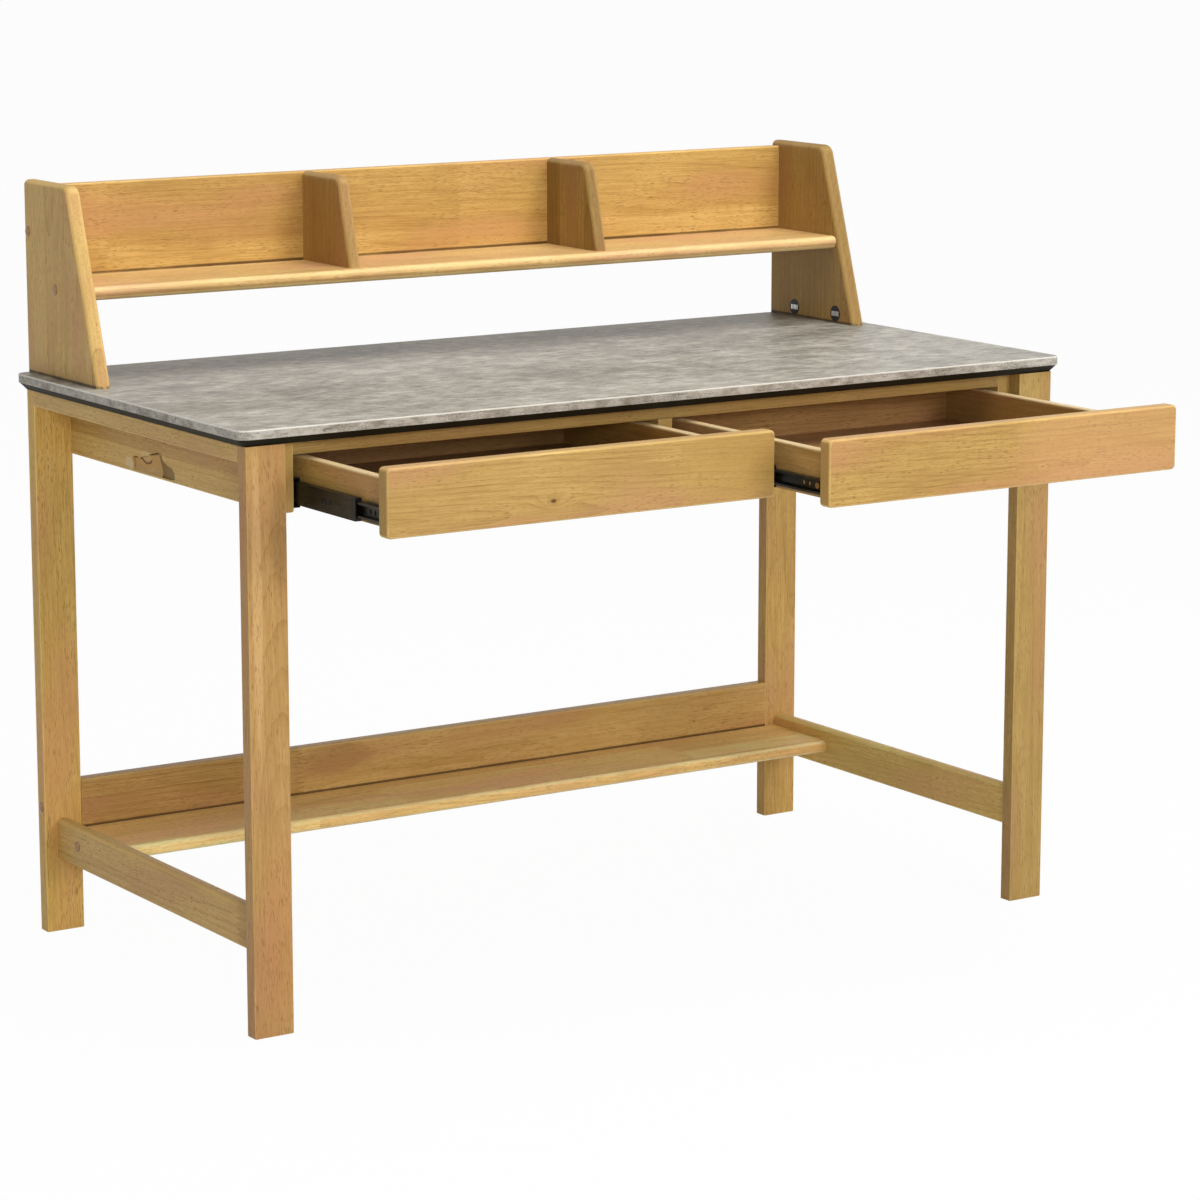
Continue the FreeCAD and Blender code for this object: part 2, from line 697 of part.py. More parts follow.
def slide(side, hand, wood, wall_piece):
    """The three members of one slide, with the screws through the outer and the inner one."""
    name = f"{SIDE_NAME[side]}_drawer_{'outer' if hand > 0 else 'inner'}_slide"
    case_lip = "case_member_height / 2 - middle_member_height / 2 - slide_play"
    middle_lip = "middle_member_height / 2 - drawer_member_height / 2 - slide_play"
    case_member = channel(
        f"{name}_case_member", side, hand, "0", "case_member_depth", "case_member_height", case_lip,
        SLIDE_LENGTH, SLIDE_FRONT, ORIGIN_SHIFT,
    )
    channel(
        f"{name}_middle_member", side, hand, "middle_member_setback", "middle_member_depth",
        "middle_member_height", middle_lip, MIDDLE_MEMBER_LENGTH,
        f"{SLIDE_FRONT} + bumper_length", MIDDLE_SHIFT[side],
    )
    drawer_member = channel(
        f"{name}_drawer_member", side, hand, "slide_thick", "-drawer_member_depth", "drawer_member_height",
        "drawer_member_lip + slide_gauge", SLIDE_LENGTH, SLIDE_FRONT, DRAWER_SHIFT[side],
    )
    wall = CASE_INNER if hand > 0 else "divider_thick / 2"
    to_drawer = "-" if hand > 0 else "+"
    into_wood = towards(side, "+x" if hand > 0 else "-x")
    drawer_seat = signed(side, f"{wall} {to_drawer} (slide_thick - slide_gauge)")
    case_screws, drawer_screws = [], []
    for number, share in enumerate(slide_screw_shares):
        y = f"{SLIDE_FRONT} + slide_screw_first + {SLIDE_LENGTH} * {share}"
        seat = (signed(side, f"{wall} {to_drawer} slide_gauge"), y, SLIDE_MIDDLE)
        case_screws.append(headed(
            f"{name}_case_screw_{number}", seat, into_wood, "screw_radius", "slide_screw_length",
            "slide_screw_head_radius", "slide_screw_head_height",
        ))
        for piece in (case_member, wood):
            drill(piece, seat, into_wood, "screw_radius + hole_play", "slide_screw_length + hole_play")
        seat = (drawer_seat, y, SLIDE_MIDDLE)
        drawer_screws.append(headed(
            f"{name}_drawer_screw_{number}", seat, opposite(into_wood), "screw_radius", "slide_screw_length",
            "slide_screw_head_radius", "slide_screw_head_height",
        ))
        out_of_wood = opposite(into_wood)
        for piece in (drawer_member, wall_piece):
            drill(piece, seat, out_of_wood, "screw_radius + hole_play", "slide_screw_length + hole_play")
    for place in ("rail_hole_first", "rail_hole_second"):
        seat = (drawer_seat, f"{SLIDE_FRONT} + {place}", SLIDE_MIDDLE)
        drill(drawer_member, seat, opposite(into_wood), "rail_hole_radius", "slide_gauge")
    return case_screws, drawer_screws


def bumper(side, hand):
    """A soft stop on the front end of the middle member, open where the drawer's member runs."""
    name = f"{SIDE_NAME[side]}_drawer_{'outer' if hand > 0 else 'inner'}_bumper"
    wall = CASE_INNER if hand > 0 else "-(divider_thick / 2)"
    back = f"{wall} - middle_member_setback"
    lips = f"{back} - middle_member_depth"
    web = f"{back} - bumper_thick"
    slot = "drawer_member_height / 2 + slide_play"
    block = doc.addObject("Part::Cut", name)
    block.Base = doc.addObject("Part::Box", f"{name}_block")
    block.Tool = doc.addObject("Part::Box", f"{name}_slot")
    for item, near, half in ((block.Base, back, "middle_member_height / 2"), (block.Tool, web, slot)):
        bind(item, Length=f"{near} - ({lips})", Width="bumper_length", Height=f"2 * ({half})")
        x = mirrored(side * hand, lips, near)
        stand(item, (x[0], SLIDE_FRONT, f"{SLIDE_MIDDLE} - ({half})"))
    return block


# Fasteners

dowels = []
bolts = []
inserts = []
covers = []
screws = []


def dowel_joint(first, second, at, direction):
    """A dowel across a joint, its short end in the first piece, and a hole for it in each."""
    start = step(at, opposite(direction), "dowel_short_end")
    dowels.append(rod(f"dowel_{len(dowels)}", start, direction, "dowel_radius", "dowel_length"))
    drill(first, at, opposite(direction), "dowel_radius + hole_play", "dowel_short_end + hole_end_gap")
    drill(second, at, direction, "dowel_radius + hole_play", "dowel_length - dowel_short_end + hole_end_gap")


def bolt_joint(first, second, outer, thick, side, y, z):
    """A bolt through one board into a threaded insert in the end of another, and its cover."""
    inward = towards(side, "-x")
    face = (signed(side, outer), y, z)
    seat = step(face, inward, f"{thick} - bolt_clamp")
    joint = step(face, inward, thick)
    bolts.append(headed(
        f"bolt_{len(bolts)}", seat, inward, "bolt_radius", "bolt_length",
        "bolt_head_radius", "bolt_head_height",
    ))
    drill(first, face, inward, "bolt_head_radius + hole_play", f"{thick} - bolt_clamp")
    drill(first, seat, inward, "bolt_radius + hole_play", "bolt_clamp")
    drill(second, joint, inward, "insert_radius + hole_play", "insert_length")
    drill(second, joint, inward, "bolt_radius + hole_play", "bolt_length - bolt_clamp + hole_end_gap")
    insert = doc.addObject("Part::Cut", f"insert_{len(inserts)}")
    insert.Base = rod(f"{insert.Name}_outside", joint, inward, "insert_radius", "insert_length")
    insert.Tool = rod(f"{insert.Name}_thread", joint, inward, "bolt_radius + hole_play / 2", "insert_length")
    inserts.append(insert)
    cover = doc.addObject("Part::Fuse", f"cover_{len(covers)}")
    dome = doc.addObject("Part::Common", f"{cover.Name}_dome")
    ball = doc.addObject("Part::Sphere", f"{cover.Name}_ball")
    ball_radius = "(cover_radius * cover_radius + cover_height * cover_height) / (2 * cover_height)"
    bind(ball, Radius=ball_radius)
    stand(ball, step(face, inward, f"{ball_radius} - cover_height"))
    dome.Base = ball
    dome.Tool = rod(f"{cover.Name}_rim", face, opposite(inward), "cover_radius", "cover_height")
    cover.Base = dome
    cover.Tool = rod(f"{cover.Name}_peg", face, inward, "bolt_head_radius", "cover_peg_length")
    covers.append(cover)


def top_screw(rail, core, x, y, rail_low):
    """A screw from below, sunk in a rail and driven into the desk top."""
    seat = (x, y, f"{rail_low} + screw_counterbore")
    screws.append(headed(
        f"top_screw_{len(screws)}", seat, "+z", "screw_radius", "screw_length",
        "screw_head_radius", "screw_head_height",
    ))
    drill(rail, (x, y, rail_low), "+z", "screw_head_radius + hole_play", "screw_counterbore")
    for piece in (rail, core):
        drill(piece, seat, "+z", "screw_radius + hole_play", "screw_length + hole_end_gap")


def cam_fitting(panel, core, skin, side, number):
    """A round housing let into the panel, the cam in its face and the pin up from the desk top."""
    inward = towards(side, "-x")
    y = f"{HUTCH_REAR} - cam_rear_setback - cam_spacing * {number}"
    z = f"{TOP_HIGH} + cam_height"
    face = (signed(side, HUTCH_INNER), y, z)
    name = f"{SIDE_NAME[side]}_{number}"
    pin_x = step(face, opposite(inward), "cam_depth / 2")[0]
    pin_foot = (pin_x, y, f"{TOP_HIGH} - cam_pin_grip")
    pin_length = "cam_pin_grip + cam_height - cam_rise / 2"
    slot_x = mirrored(side, HUTCH_INNER, f"{HUTCH_INNER} + cam_depth")
    drill(panel, face, opposite(inward), "cam_housing_radius + hole_play", "cam_housing_depth")
    for piece in (panel, core, skin):
        drill(piece, pin_foot, "+z", "cam_pin_radius + hole_play", pin_length)
    shell = doc.addObject("Part::Cut", f"housing_shell_{name}")
    shell.Base = rod(
        f"housing_round_{name}", face, opposite(inward), "cam_housing_radius", "cam_housing_depth",
    )
    slot = doc.addObject("Part::Box", f"housing_slot_{name}")
    bind(slot, Length="cam_depth", Width="cam_width", Height="cam_rise")
    stand(slot, (slot_x[0], f"{y} - cam_width / 2", f"{z} - cam_rise / 2"))
    shell.Tool = slot
    housing = doc.addObject("Part::Cut", f"housing_{name}")
    housing.Base = shell
    housing.Tool = rod(f"housing_bore_{name}", pin_foot, "+z", "cam_pin_radius + hole_play", pin_length)
    cam = doc.addObject("Part::Box", f"cam_{name}")
    bind(cam, Length="cam_depth", Width="cam_width", Height="cam_rise")
    stand(cam, (slot_x[0], f"{y} - cam_width / 2", f"{z} - cam_rise / 2"))
    pin = rod(f"cam_pin_{name}", pin_foot, "+z", "cam_pin_radius", pin_length)
    return housing, cam, pin


def small_dowel(items, first, second, at, direction):
    """A dowel of a drawer box, its short end in the first piece."""
    start = step(at, opposite(direction), "small_dowel_short_end")
    name = f"small_dowel_{first.Name}_{len(items)}"
    hole_radius = "small_dowel_radius + hole_play"
    long_end = "small_dowel_length - small_dowel_short_end"
    items.append(rod(name, start, direction, "small_dowel_radius", "small_dowel_length"))
    drill(first, at, opposite(direction), hole_radius, "small_dowel_short_end + hole_end_gap")
    drill(second, at, direction, hole_radius, f"{long_end} + hole_end_gap")


# The whole desk

def build():
    core, skin = desk_top()
    legs = {(side, end): leg(side, end) for side in (-1, 1) for end in (-1, 1)}
    rails = {side: top_rail(side) for side in (-1, 1)}
    stretchers = {side: stretcher(side) for side in (-1, 1)}
    cases = {side: case_side(side) for side in (-1, 1)}
    case_hollow(cases[-1])
    front_rail, rear_rail, divider = case_rails()
    low_shelf, low_back = foot_shelf()
    panels, hutch_shelf, hutch_back, bay_dividers = bookshelf()

    for side in (-1, 1):
        side_frame_joints(side, legs, rails, stretchers, cases)
        case_joints(side, cases[side], front_rail, rear_rail)
        shelf_joints(side, legs, stretchers, low_shelf, low_back)
        hutch_joints(side, panels[side], hutch_shelf, hutch_back, bay_dividers[side])
        for share in screw_shares:
            top_screw(rails[side], core, signed(side, f"{LEG_OUTER} - top_rail_width / 2"),
                      between(FRONT, REAR, share), "leg_height - top_rail_thick")
            top_screw(front_rail, core, signed(side, f"{CASE_INNER} * {share}"),
                      f"{FRONT_LEG_BACK} + front_rail_depth / 2", RAIL_LOW)
    for share in pair_shares:
        at = ("0", between(FRONT_LEG_BACK, f"{FRONT_LEG_BACK} + front_rail_depth", share), RAIL_LOW)
        dowel_joint(front_rail, divider, at, "-z")
        dowel_joint(rear_rail, divider, ("0", REAR_RAIL_FRONT, between(CASE_LOW, RAIL_LOW, share)), "-y")

    case_screws = []
    for side in (-1, 1):
        box = drawer(side)
        drawer_fasteners(side, box)
        drawer_screws, bumpers = [], []
        for hand, wood, wall in ((1, cases[side], box["outer"]), (-1, divider, box["inner"])):
            in_case, in_drawer = slide(side, hand, wood, wall)
            case_screws += in_case
            drawer_screws += in_drawer
            bumpers.append(bumper(side, hand))
        group(f"{SIDE_NAME[side]}_drawer_slide_screws", drawer_screws, DRAWER_SHIFT[side])
        group(f"{SIDE_NAME[side]}_drawer_slide_bumpers", bumpers, MIDDLE_SHIFT[side])

    fittings = [cam_fitting(panels[side], core, skin, side, number) for side in (-1, 1) for number in (0, 1)]
    group("cam_housings", [fitting[0] for fitting in fittings])
    group("cams", [fitting[1] for fitting in fittings])
    group("cam_pins", [fitting[2] for fitting in fittings])
    group("case_slide_screws", case_screws)
    group("dowels", dowels)
    group("bolts", bolts)
    group("threaded_inserts", inserts)
    group("bolt_covers", covers)
    group("top_screws", screws)


def side_frame_joints(side, legs, rails, stretchers, cases):
    """Dowels from the legs into the top rail and the stretcher, and from the rail into the case."""
    rail_middle = "leg_height - top_rail_thick / 2"
    stretcher_middle = signed(side, f"{STRETCHER_OUTER} - stretcher_thick / 2")
    for end, plane in ((-1, FRONT_LEG_BACK), (1, REAR_LEG_FRONT)):
        into = "+y" if end < 0 else "-y"
        for share in pair_shares:
            x = signed(side, between(CASE_OUTER, LEG_OUTER, share))
            dowel_joint(legs[side, end], rails[side], (x, plane, rail_middle), into)
            z = f"stretcher_floor_gap + stretcher_height * {share}"
            dowel_joint(legs[side, end], stretchers[side], (stretcher_middle, plane, z), into)
    for share in rail_dowel_shares:
        at = (signed(side, CASE_OUTER), between(FRONT_LEG_BACK, REAR_LEG_FRONT, share), rail_middle)
        dowel_joint(cases[side], rails[side], at, towards(side, "+x"))


def case_joints(side, case, front_rail, rear_rail):
    """Dowels from the case side into the ends of the front and rear rails."""
    inward = towards(side, "-x")
    x = signed(side, CASE_INNER)
    for share in pair_shares:
        y = between(FRONT_LEG_BACK, f"{FRONT_LEG_BACK} + front_rail_depth", share)
        dowel_joint(case, front_rail, (x, y, "leg_height - front_rail_thick / 2"), inward)
        z = between(CASE_LOW, "leg_height", share)
        dowel_joint(case, rear_rail, (x, f"{REAR_LEG_FRONT} - rear_rail_thick / 2", z), inward)


def shelf_joints(side, legs, stretchers, shelf, back):
    """A bolt and two dowels at each end of the foot shelf and of the board behind it."""
    inward = towards(side, "-x")
    leg_middle = f"{REAR} - leg_thick / 2"
    bolt_joint(
        stretchers[side], shelf, STRETCHER_OUTER, "stretcher_thick", side,
        f"{REAR} - low_shelf_bolt_setback", SHELF_MIDDLE_HEIGHT,
    )
    bolt_joint(legs[side, 1], back, LEG_OUTER, "leg_width", side, leg_middle, "low_back_bolt_height")
    for share in screw_shares:
        at = (signed(side, STRETCHER_INNER), between(SHELF_FRONT, SHELF_REAR, share), SHELF_MIDDLE_HEIGHT)
        dowel_joint(stretchers[side], shelf, at, inward)
    for share in low_back_dowel_shares:
        z = f"low_shelf_floor_gap + low_back_height * {share}"
        dowel_joint(legs[side, 1], back, (signed(side, LEG_INNER), leg_middle, z), inward)


def hutch_joints(side, panel, shelf, back, divider):
    """Bolts and dowels from a panel, and dowels under and behind a bay divider."""
    inward = towards(side, "-x")
    shelf_middle = f"{HUTCH_SHELF_HIGH} - hutch_shelf_thick / 2"
    back_middle = f"{HUTCH_REAR} - hutch_back_thick / 2"
    shelf_bolt_y = f"{REAR} - hutch_shelf_bolt_setback"
    back_bolt_z = f"{TOP_HIGH} + hutch_back_bolt_height"
    bolt_joint(panel, shelf, HUTCH_OUTER, "panel_thick", side, shelf_bolt_y, shelf_middle)
    bolt_joint(panel, back, HUTCH_OUTER, "panel_thick", side, back_middle, back_bolt_z)
    for share in screw_shares:
        at = (signed(side, HUTCH_INNER), between(HUTCH_SHELF_FRONT, HUTCH_REAR, share), shelf_middle)
        dowel_joint(panel, shelf, at, inward)
        at = (signed(side, HUTCH_INNER), back_middle, between(HUTCH_SHELF_HIGH, HUTCH_BACK_HIGH, share))
        dowel_joint(panel, back, at, inward)
    x = signed(side, "bay_width / 2")
    for share in pair_shares:
        at = (x, f"{HUTCH_BACK_FACE} - bay_divider_low_depth * {share}", HUTCH_SHELF_HIGH)
        dowel_joint(shelf, divider, at, "+z")
    z = between(HUTCH_SHELF_HIGH, HUTCH_BACK_HIGH, pair_shares[1])
    dowel_joint(back, divider, (x, HUTCH_BACK_FACE, z), "-y")


def drawer_fasteners(side, box):
    """Dowels from the sides into the front and the back of a drawer."""
    items = []
    middles = {
        "outer": f"{BOX_OUTER} - drawer_side_thick / 2",
        "inner": f"{BOX_INNER} + drawer_side_thick / 2",
    }
    faces = {"outer": f"{BOX_OUTER} - drawer_side_thick", "inner": f"{BOX_INNER} + drawer_side_thick"}
    for place in ("outer", "inner"):
        for share in pair_shares:
            z = between(f"{BOTTOM_LOW} + drawer_bottom_thick", BOX_HIGH, share)
            at = (signed(side, middles[place]), FRONT_BACK_FACE, z)
            small_dowel(items, box["front"], box[place], at, "+y")
            inward = towards(side, "-x" if place == "outer" else "+x")
            at = (signed(side, faces[place]), f"{BOX_REAR} - drawer_side_thick / 2", z)
            small_dowel(items, box[place], box["back"], at, inward)
    group(f"{SIDE_NAME[side]}_drawer_dowels", items, DRAWER_SHIFT[side])


build()
doc.recompute()

# Checks, then the files
for item in doc.Objects:
    if "Invalid" in item.State or "Error" in item.State:
        raise RuntimeError(f"{item.Label} failed: {item.State}")
for item in subparts:
    if item.Shape.isNull() or not item.Shape.isValid():
        raise RuntimeError(f"{item.Label} has no valid shape")

os.makedirs("parts", exist_ok=True)
for item in subparts:
    item.Shape.exportStep(f"parts/{item.Label}.step")
    print(item.Label, len(item.Shape.Solids), round(item.Shape.Volume))
print(len(subparts), "nodes")
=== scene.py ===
"""Looks of a writing desk with a shelf, laid out as a Blender add-on and run as a script.

The desk is honey-coloured rubberwood with a grey laminate top, black drawer slides and small
metal fittings. Everything is in metres in the desk's own frame: X to the right, Y to the wall,
Z up, with the origin on the floor. Lengths in the patterns of the materials are millimetres,
because a grain is easier to picture that way.
"""

import math

import bmesh
import bpy
from bpy.props import FloatProperty, FloatVectorProperty, IntProperty, PointerProperty
from mathutils import Euler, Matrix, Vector


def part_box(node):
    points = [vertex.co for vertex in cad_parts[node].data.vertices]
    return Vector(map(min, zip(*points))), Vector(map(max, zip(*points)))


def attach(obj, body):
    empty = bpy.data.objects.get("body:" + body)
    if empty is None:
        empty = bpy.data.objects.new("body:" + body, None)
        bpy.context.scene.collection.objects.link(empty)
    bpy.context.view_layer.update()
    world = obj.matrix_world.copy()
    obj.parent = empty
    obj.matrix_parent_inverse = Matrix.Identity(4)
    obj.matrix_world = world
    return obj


bl_info = {
    "name": "Writing desk with a shelf",
    "version": (1, 0, 0),
    "blender": (4, 5, 0),
    "location": "3D View > Sidebar > Desk",
    "description": "Wood, laminate, metal and small details of a writing desk with a shelf",
    "category": "Object",
}

MM = 0.001
PER_METRE = 1000.0
AXES = "xyz"

# Cuts of the finger joints, in millimetres
FINGER_PITCH = 6.5
FINGER_DEPTH = 10.0

# How deep a mark goes into a board, in millimetres
MARK_DEPTH = 9.0

# Half lengths of the marks along a whole back board and along a whole edge, in millimetres
BOARD_RUN = 2000.0
EDGE_RUN = 5000.0

# Casts of the boards, as factors of red, green and blue. Where a comment says so, the factor lightens a whole
# board as painted light or darkens it as painted shade
HONEY = (1.0, 1.0, 1.0)
ROSY = (0.82, 0.75, 0.79)
# Painted light on the rear left leg, which the frame leaves in shade
REAR_LEG_PAINTED_LIGHT = (1.12, 1.12, 1.0)
# Painted shade on the front right leg, which the lamps light too strongly
FRONT_LEG_PAINTED_SHADE = (0.8, 0.82, 0.84)
SHADED = (0.6, 0.61, 0.6)
# Painted light on the right stretcher and, stronger, on the foot shelf, both in the shade under the drawers
STRETCHER_PAINTED_LIGHT = (1.3, 1.42, 1.4)
FOOT_SHELF_PAINTED_LIGHT = (1.72, 1.82, 2.25)
# Painted shade on the lower back board
BACK_BOARD_PAINTED_SHADE = (0.84, 0.8, 0.78)
# Painted light on the top of the bookshelf's shelf
HUTCH_SHELF_PAINTED_LIGHT = (1.22, 1.26, 1.62)
# The hutch back board's own cast
WARM = (1.0, 0.96, 0.89)
# Painted shade on the bookshelf's right panel and both dividers, whose inner faces lie in shade
HUTCH_INNER_PAINTED_SHADE = (0.56, 0.53, 0.48)
DIVIDER_PAINTED_SHADE = (0.68, 0.64, 0.62)
# The left drawer front's own cast
OAT = (0.92, 0.93, 0.95)
# Painted shade on the drawers' sides and backs, which lie in shade inside the case; the backs also have a pink
# cast
LEFT_OUTER_PAINTED_SHADE = (0.86, 0.84, 0.80)
LEFT_INNER_PAINTED_SHADE = (0.62, 0.57, 0.50)
RIGHT_OUTER_PAINTED_SHADE = (0.5, 0.45, 0.42)
RIGHT_INNER_PAINTED_SHADE = (0.78, 0.73, 0.76)
DRAWER_BACK_SHADE_AND_PINK = (0.72, 0.66, 0.76)

# Colours of marks that several boards carry
# Painted shade along the crease where a shelf meets a back board
CREASE_SHADE = (66, 40, 12)
CREAM = (212, 182, 122)
# Painted light along the top edges of the drawer sides
RIM_PAINTED_LIGHT = (226, 202, 156)

# Satin lacquer on all the wood
LACQUER = {"Specular IOR Level": 0.16, "Coat Weight": 0.05, "Coat Roughness": 0.2}

# Bars of a screw's cross recess, and how far their middle lies outside the head
CROSS_REACH = 2.4 * MM
CROSS_WIDTH = 0.5 * MM
CROSS_THICKNESS = 0.12 * MM
CROSS_GAP = 0.02 * MM

# Rows of balls: setback of the first one, and the thickness of the slides' sheet
BALL_SETBACK = 14 * MM
SHEET = 1.2 * MM

# Ribs on a cam: thickness, width as a share of their pitch, height as a share of the cam's
RIB_THICKNESS = 0.7 * MM
RIB_WIDTH = 0.56
RIB_HEIGHT = 0.94

# Slots pressed through a middle member, in millimetres: setback, half length, half height
SLOTS = ((47.5, 4.0, 3.0), (56.5, 2.4, 3.4), (65, 3.4, 3.2))

# Natural hollow in the left case board, in millimetres of the desk
HOLLOW_FACE = 539.0
HOLLOW_MIDDLE = 194.0
HOLLOW_LENGTH = 112.0
HOLLOW_LOW = 619.5
HOLLOW_HEIGHT = 29.0
HOLLOW_DEPTH = 2.9
HOLLOW_BACK = 2.97
HOLLOW_STEP = 1.0

# Height over the hollow's floor from which a side of its outline counts as roof
HOLLOW_ROOF = 8.0

# Outline of the hollow, its lump and its crest, in shares of its length and height
HOLLOW_SHARES = (
    (0.50, 0.57), (0.47, 0.07), (0.42, 0.0), (-0.43, 0.0), (-0.50, 0.05), (-0.49, 0.30),
    (-0.44, 0.48), (-0.32, 0.59), (-0.23, 0.72), (-0.19, 0.90), (-0.12, 1.0), (0.02, 0.90),
    (0.09, 0.84), (0.13, 0.74), (0.25, 0.67), (0.32, 0.57), (0.40, 0.61),
)
LUMP_PLACE = (0.19, 0.72)
LUMP_REACH = (0.12, 0.30)
CREST_PLACE = -0.17
CREST_HEIGHT = 0.38
CREST_LEAN = 0.12

# Lights: name, place, what they point at, side length, and the setting with their power
LIGHTS = (
    ("front_light", (2.1, -6.4, 2.1), (0.0, 0.0, 0.5), 2.4, "front"),
    ("high_light", (2.1, -6.3, 3.0), (0.0, 0.0, 0.4), 2.0, "high"),
    ("top_light", (0.2, -0.6, 3.4), (0.0, 0.0, 0.3), 2.4, "above"),
    ("left_light", (-3.4, 1.5, 0.9), (0.0, 0.1, 0.6), 1.4, "left"),
    ("eye_light", (-2.6, -4.5, 1.5), (0.0, 0.0, 0.6), 1.2, "eye"),
    ("right_light", (3.6, -0.8, 1.4), (0.0, 0.0, 0.5), 1.6, "right"),
)
FLOOR_REACH = 40.0
FLOOR_PAINT = (0.8, 0.8, 0.8, 1.0)
WHITE = (1.0, 1.0, 1.0, 1.0)

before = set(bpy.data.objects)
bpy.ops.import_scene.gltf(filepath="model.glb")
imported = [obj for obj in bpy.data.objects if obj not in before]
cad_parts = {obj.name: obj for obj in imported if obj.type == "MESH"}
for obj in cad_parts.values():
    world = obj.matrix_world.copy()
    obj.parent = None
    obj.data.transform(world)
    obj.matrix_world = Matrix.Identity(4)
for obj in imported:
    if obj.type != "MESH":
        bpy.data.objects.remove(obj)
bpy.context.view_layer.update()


def srgb(red, green, blue):
    """A linear colour from the usual three numbers of 0 to 255."""
    parts = []
    for number in (red, green, blue):
        share = number / 255
        parts.append(share / 12.92 if share <= 0.04045 else ((share + 0.055) / 1.055) ** 2.4)
    return tuple(parts)


def colour_setting(name, description, tone):
    """A colour that the sidebar shows, from its 0 to 255 numbers."""
    return FloatVectorProperty(
        name=name, description=description, subtype="COLOR", size=3, min=0.0, max=1.0, default=srgb(*tone),
    )


def length_setting(name, description, metres):
    """A length that the sidebar shows."""
    return FloatProperty(name=name, description=description, unit="LENGTH", min=0.0, default=metres)


def share_setting(name, description, share):
    """A plain number from 0 to 1 that the sidebar shows."""
    return FloatProperty(
        name=name, description=description, subtype="FACTOR", min=0.0, max=1.0, default=share,
    )


def angle_setting(name, description, degrees):
    """An angle that the sidebar shows."""
    return FloatProperty(name=name, description=description, subtype="ANGLE", default=math.radians(degrees))


def count_setting(name, description, count):
    """A whole number from 1 on that the sidebar shows."""
    return IntProperty(name=name, description=description, min=1, default=count)


def power_setting(name, description, power):
    """The strength of a light that the sidebar shows."""
    return FloatProperty(name=name, description=description, min=0.0, default=power)


class DeskWoodSettings(bpy.types.PropertyGroup):
    """Colours and grain of the rubberwood"""

    pale: colour_setting("Pale wood", "Lightest streaks between the rings", (222, 188, 119))
    honey: colour_setting("Honey wood", "The usual tone of a board", (193, 156, 88))
    brown: colour_setting("Brown wood", "Darkest streaks and the ring lines", (147, 107, 52))
    pore: colour_setting("Pores", "The short dark dashes of open pores", (104, 66, 30))
    blush: colour_setting("Blush", "The pinkish cast that drifts over some boards", (196, 146, 98))
    knot: colour_setting("Knots", "The middle of a knot", (74, 44, 20))
    ring_spacing: length_setting("Ring spacing", "Distance between two growth rings", 0.006)
    pore_length: length_setting("Pore length", "How long a pore dash looks along the grain", 0.008)
    gloss: share_setting("Roughness", "Roughness of the satin lacquer", 0.42)
    # The pale edge band is a painted highlight
    edge_width: length_setting("Edge glint", "Width of the band along an edge that is painted pale as a highlight", 0.0025)


class DeskTopSettings(bpy.types.PropertyGroup):
    """Colours and pattern of the laminate top"""

    light: colour_setting("Light grey", "Lightest clouds of the laminate", (186, 181, 170))
    middle: colour_setting("Middle grey", "The usual tone of the laminate", (147, 142, 131))
    dark: colour_setting("Dark grey", "Darkest clouds of the laminate", (104, 100, 91))
    stain: colour_setting("Edge stain", "Brownish blotches on the wrapped edge", (116, 104, 82))
    cloud: length_setting("Cloud size", "Size of the larger clouds", 0.14)
    gloss: share_setting("Roughness", "Roughness of the laminate", 0.46)


class DeskMetalSettings(bpy.types.PropertyGroup):
    """Colours and sizes of the slides and the small fittings"""

    black_steel: colour_setting("Slide steel", "Black coating of the slides", (25, 24, 17))
    zinc: colour_setting("Zinc", "Plated screws, bolts and cams", (222, 221, 214))
    bronze: colour_setting("Bronze", "Covers over the bolt heads", (156, 110, 60))
    ball_radius: length_setting("Ball radius", "Radius of a slide's bearing balls", 0.00135)
    ball_spacing: length_setting("Ball spacing", "Distance from one ball to the next in its row", 0.0062)
    balls_per_row: count_setting("Balls per row", "How many balls a row holds", 16)
    ribs_per_cam: count_setting("Ribs per cam", "Raised ribs on a cam's face", 5)


class DeskStageSettings(bpy.types.PropertyGroup):
    """Camera, lights and floor"""

    azimuth: angle_setting("Azimuth", "Camera's turn about the desk", -33.226)
    elevation: angle_setting("Elevation", "Camera's height angle", 10.943)
    place: FloatVectorProperty(
        name="Camera place", description="Where the camera stands", subtype="TRANSLATION", size=3,
        default=(-2.73914, -4.152585, 1.401319),
    )
    lens: FloatProperty(name="Lens", description="Focal length in millimetres", min=1.0, default=121.29)
    front: power_setting("Front light", "Power of the low front light", 50.0)
    high: power_setting("High light", "Power of the higher front light", 116.0)
    above: power_setting("Top light", "Power of the light overhead", 78.0)
    left: power_setting("Left light", "Power of the light behind left", 5.0)
    right: power_setting("Right light", "Power of the light at the right", 24.0)
    eye: power_setting("Light by the camera", "Power of the light by the camera", 78.0)
    sky: power_setting("Fill", "Light from all round", 0.24)
    floor_white: share_setting("Floor white", "How far the floor's own white covers the shadow", 0.97)


class Value:
    """A number somewhere in a tree of nodes, so that a sum of them reads as a sum."""

    def __init__(self, nodes, socket):
        self.nodes = nodes
        self.socket = socket

    def __add__(self, other):
        return self.nodes.maths("ADD", self, other)

    def __radd__(self, other):
        return self.nodes.maths("ADD", other, self)

    def __sub__(self, other):
        return self.nodes.maths("SUBTRACT", self, other)

    def __rsub__(self, other):
        return self.nodes.maths("SUBTRACT", other, self)

    def __mul__(self, other):
        return self.nodes.maths("MULTIPLY", self, other)

    def __truediv__(self, other):
        return self.nodes.maths("DIVIDE", self, other)

    def __pow__(self, other):
        return self.nodes.maths("POWER", self, other)

    def __abs__(self):
        return self.nodes.maths("ABSOLUTE", self)


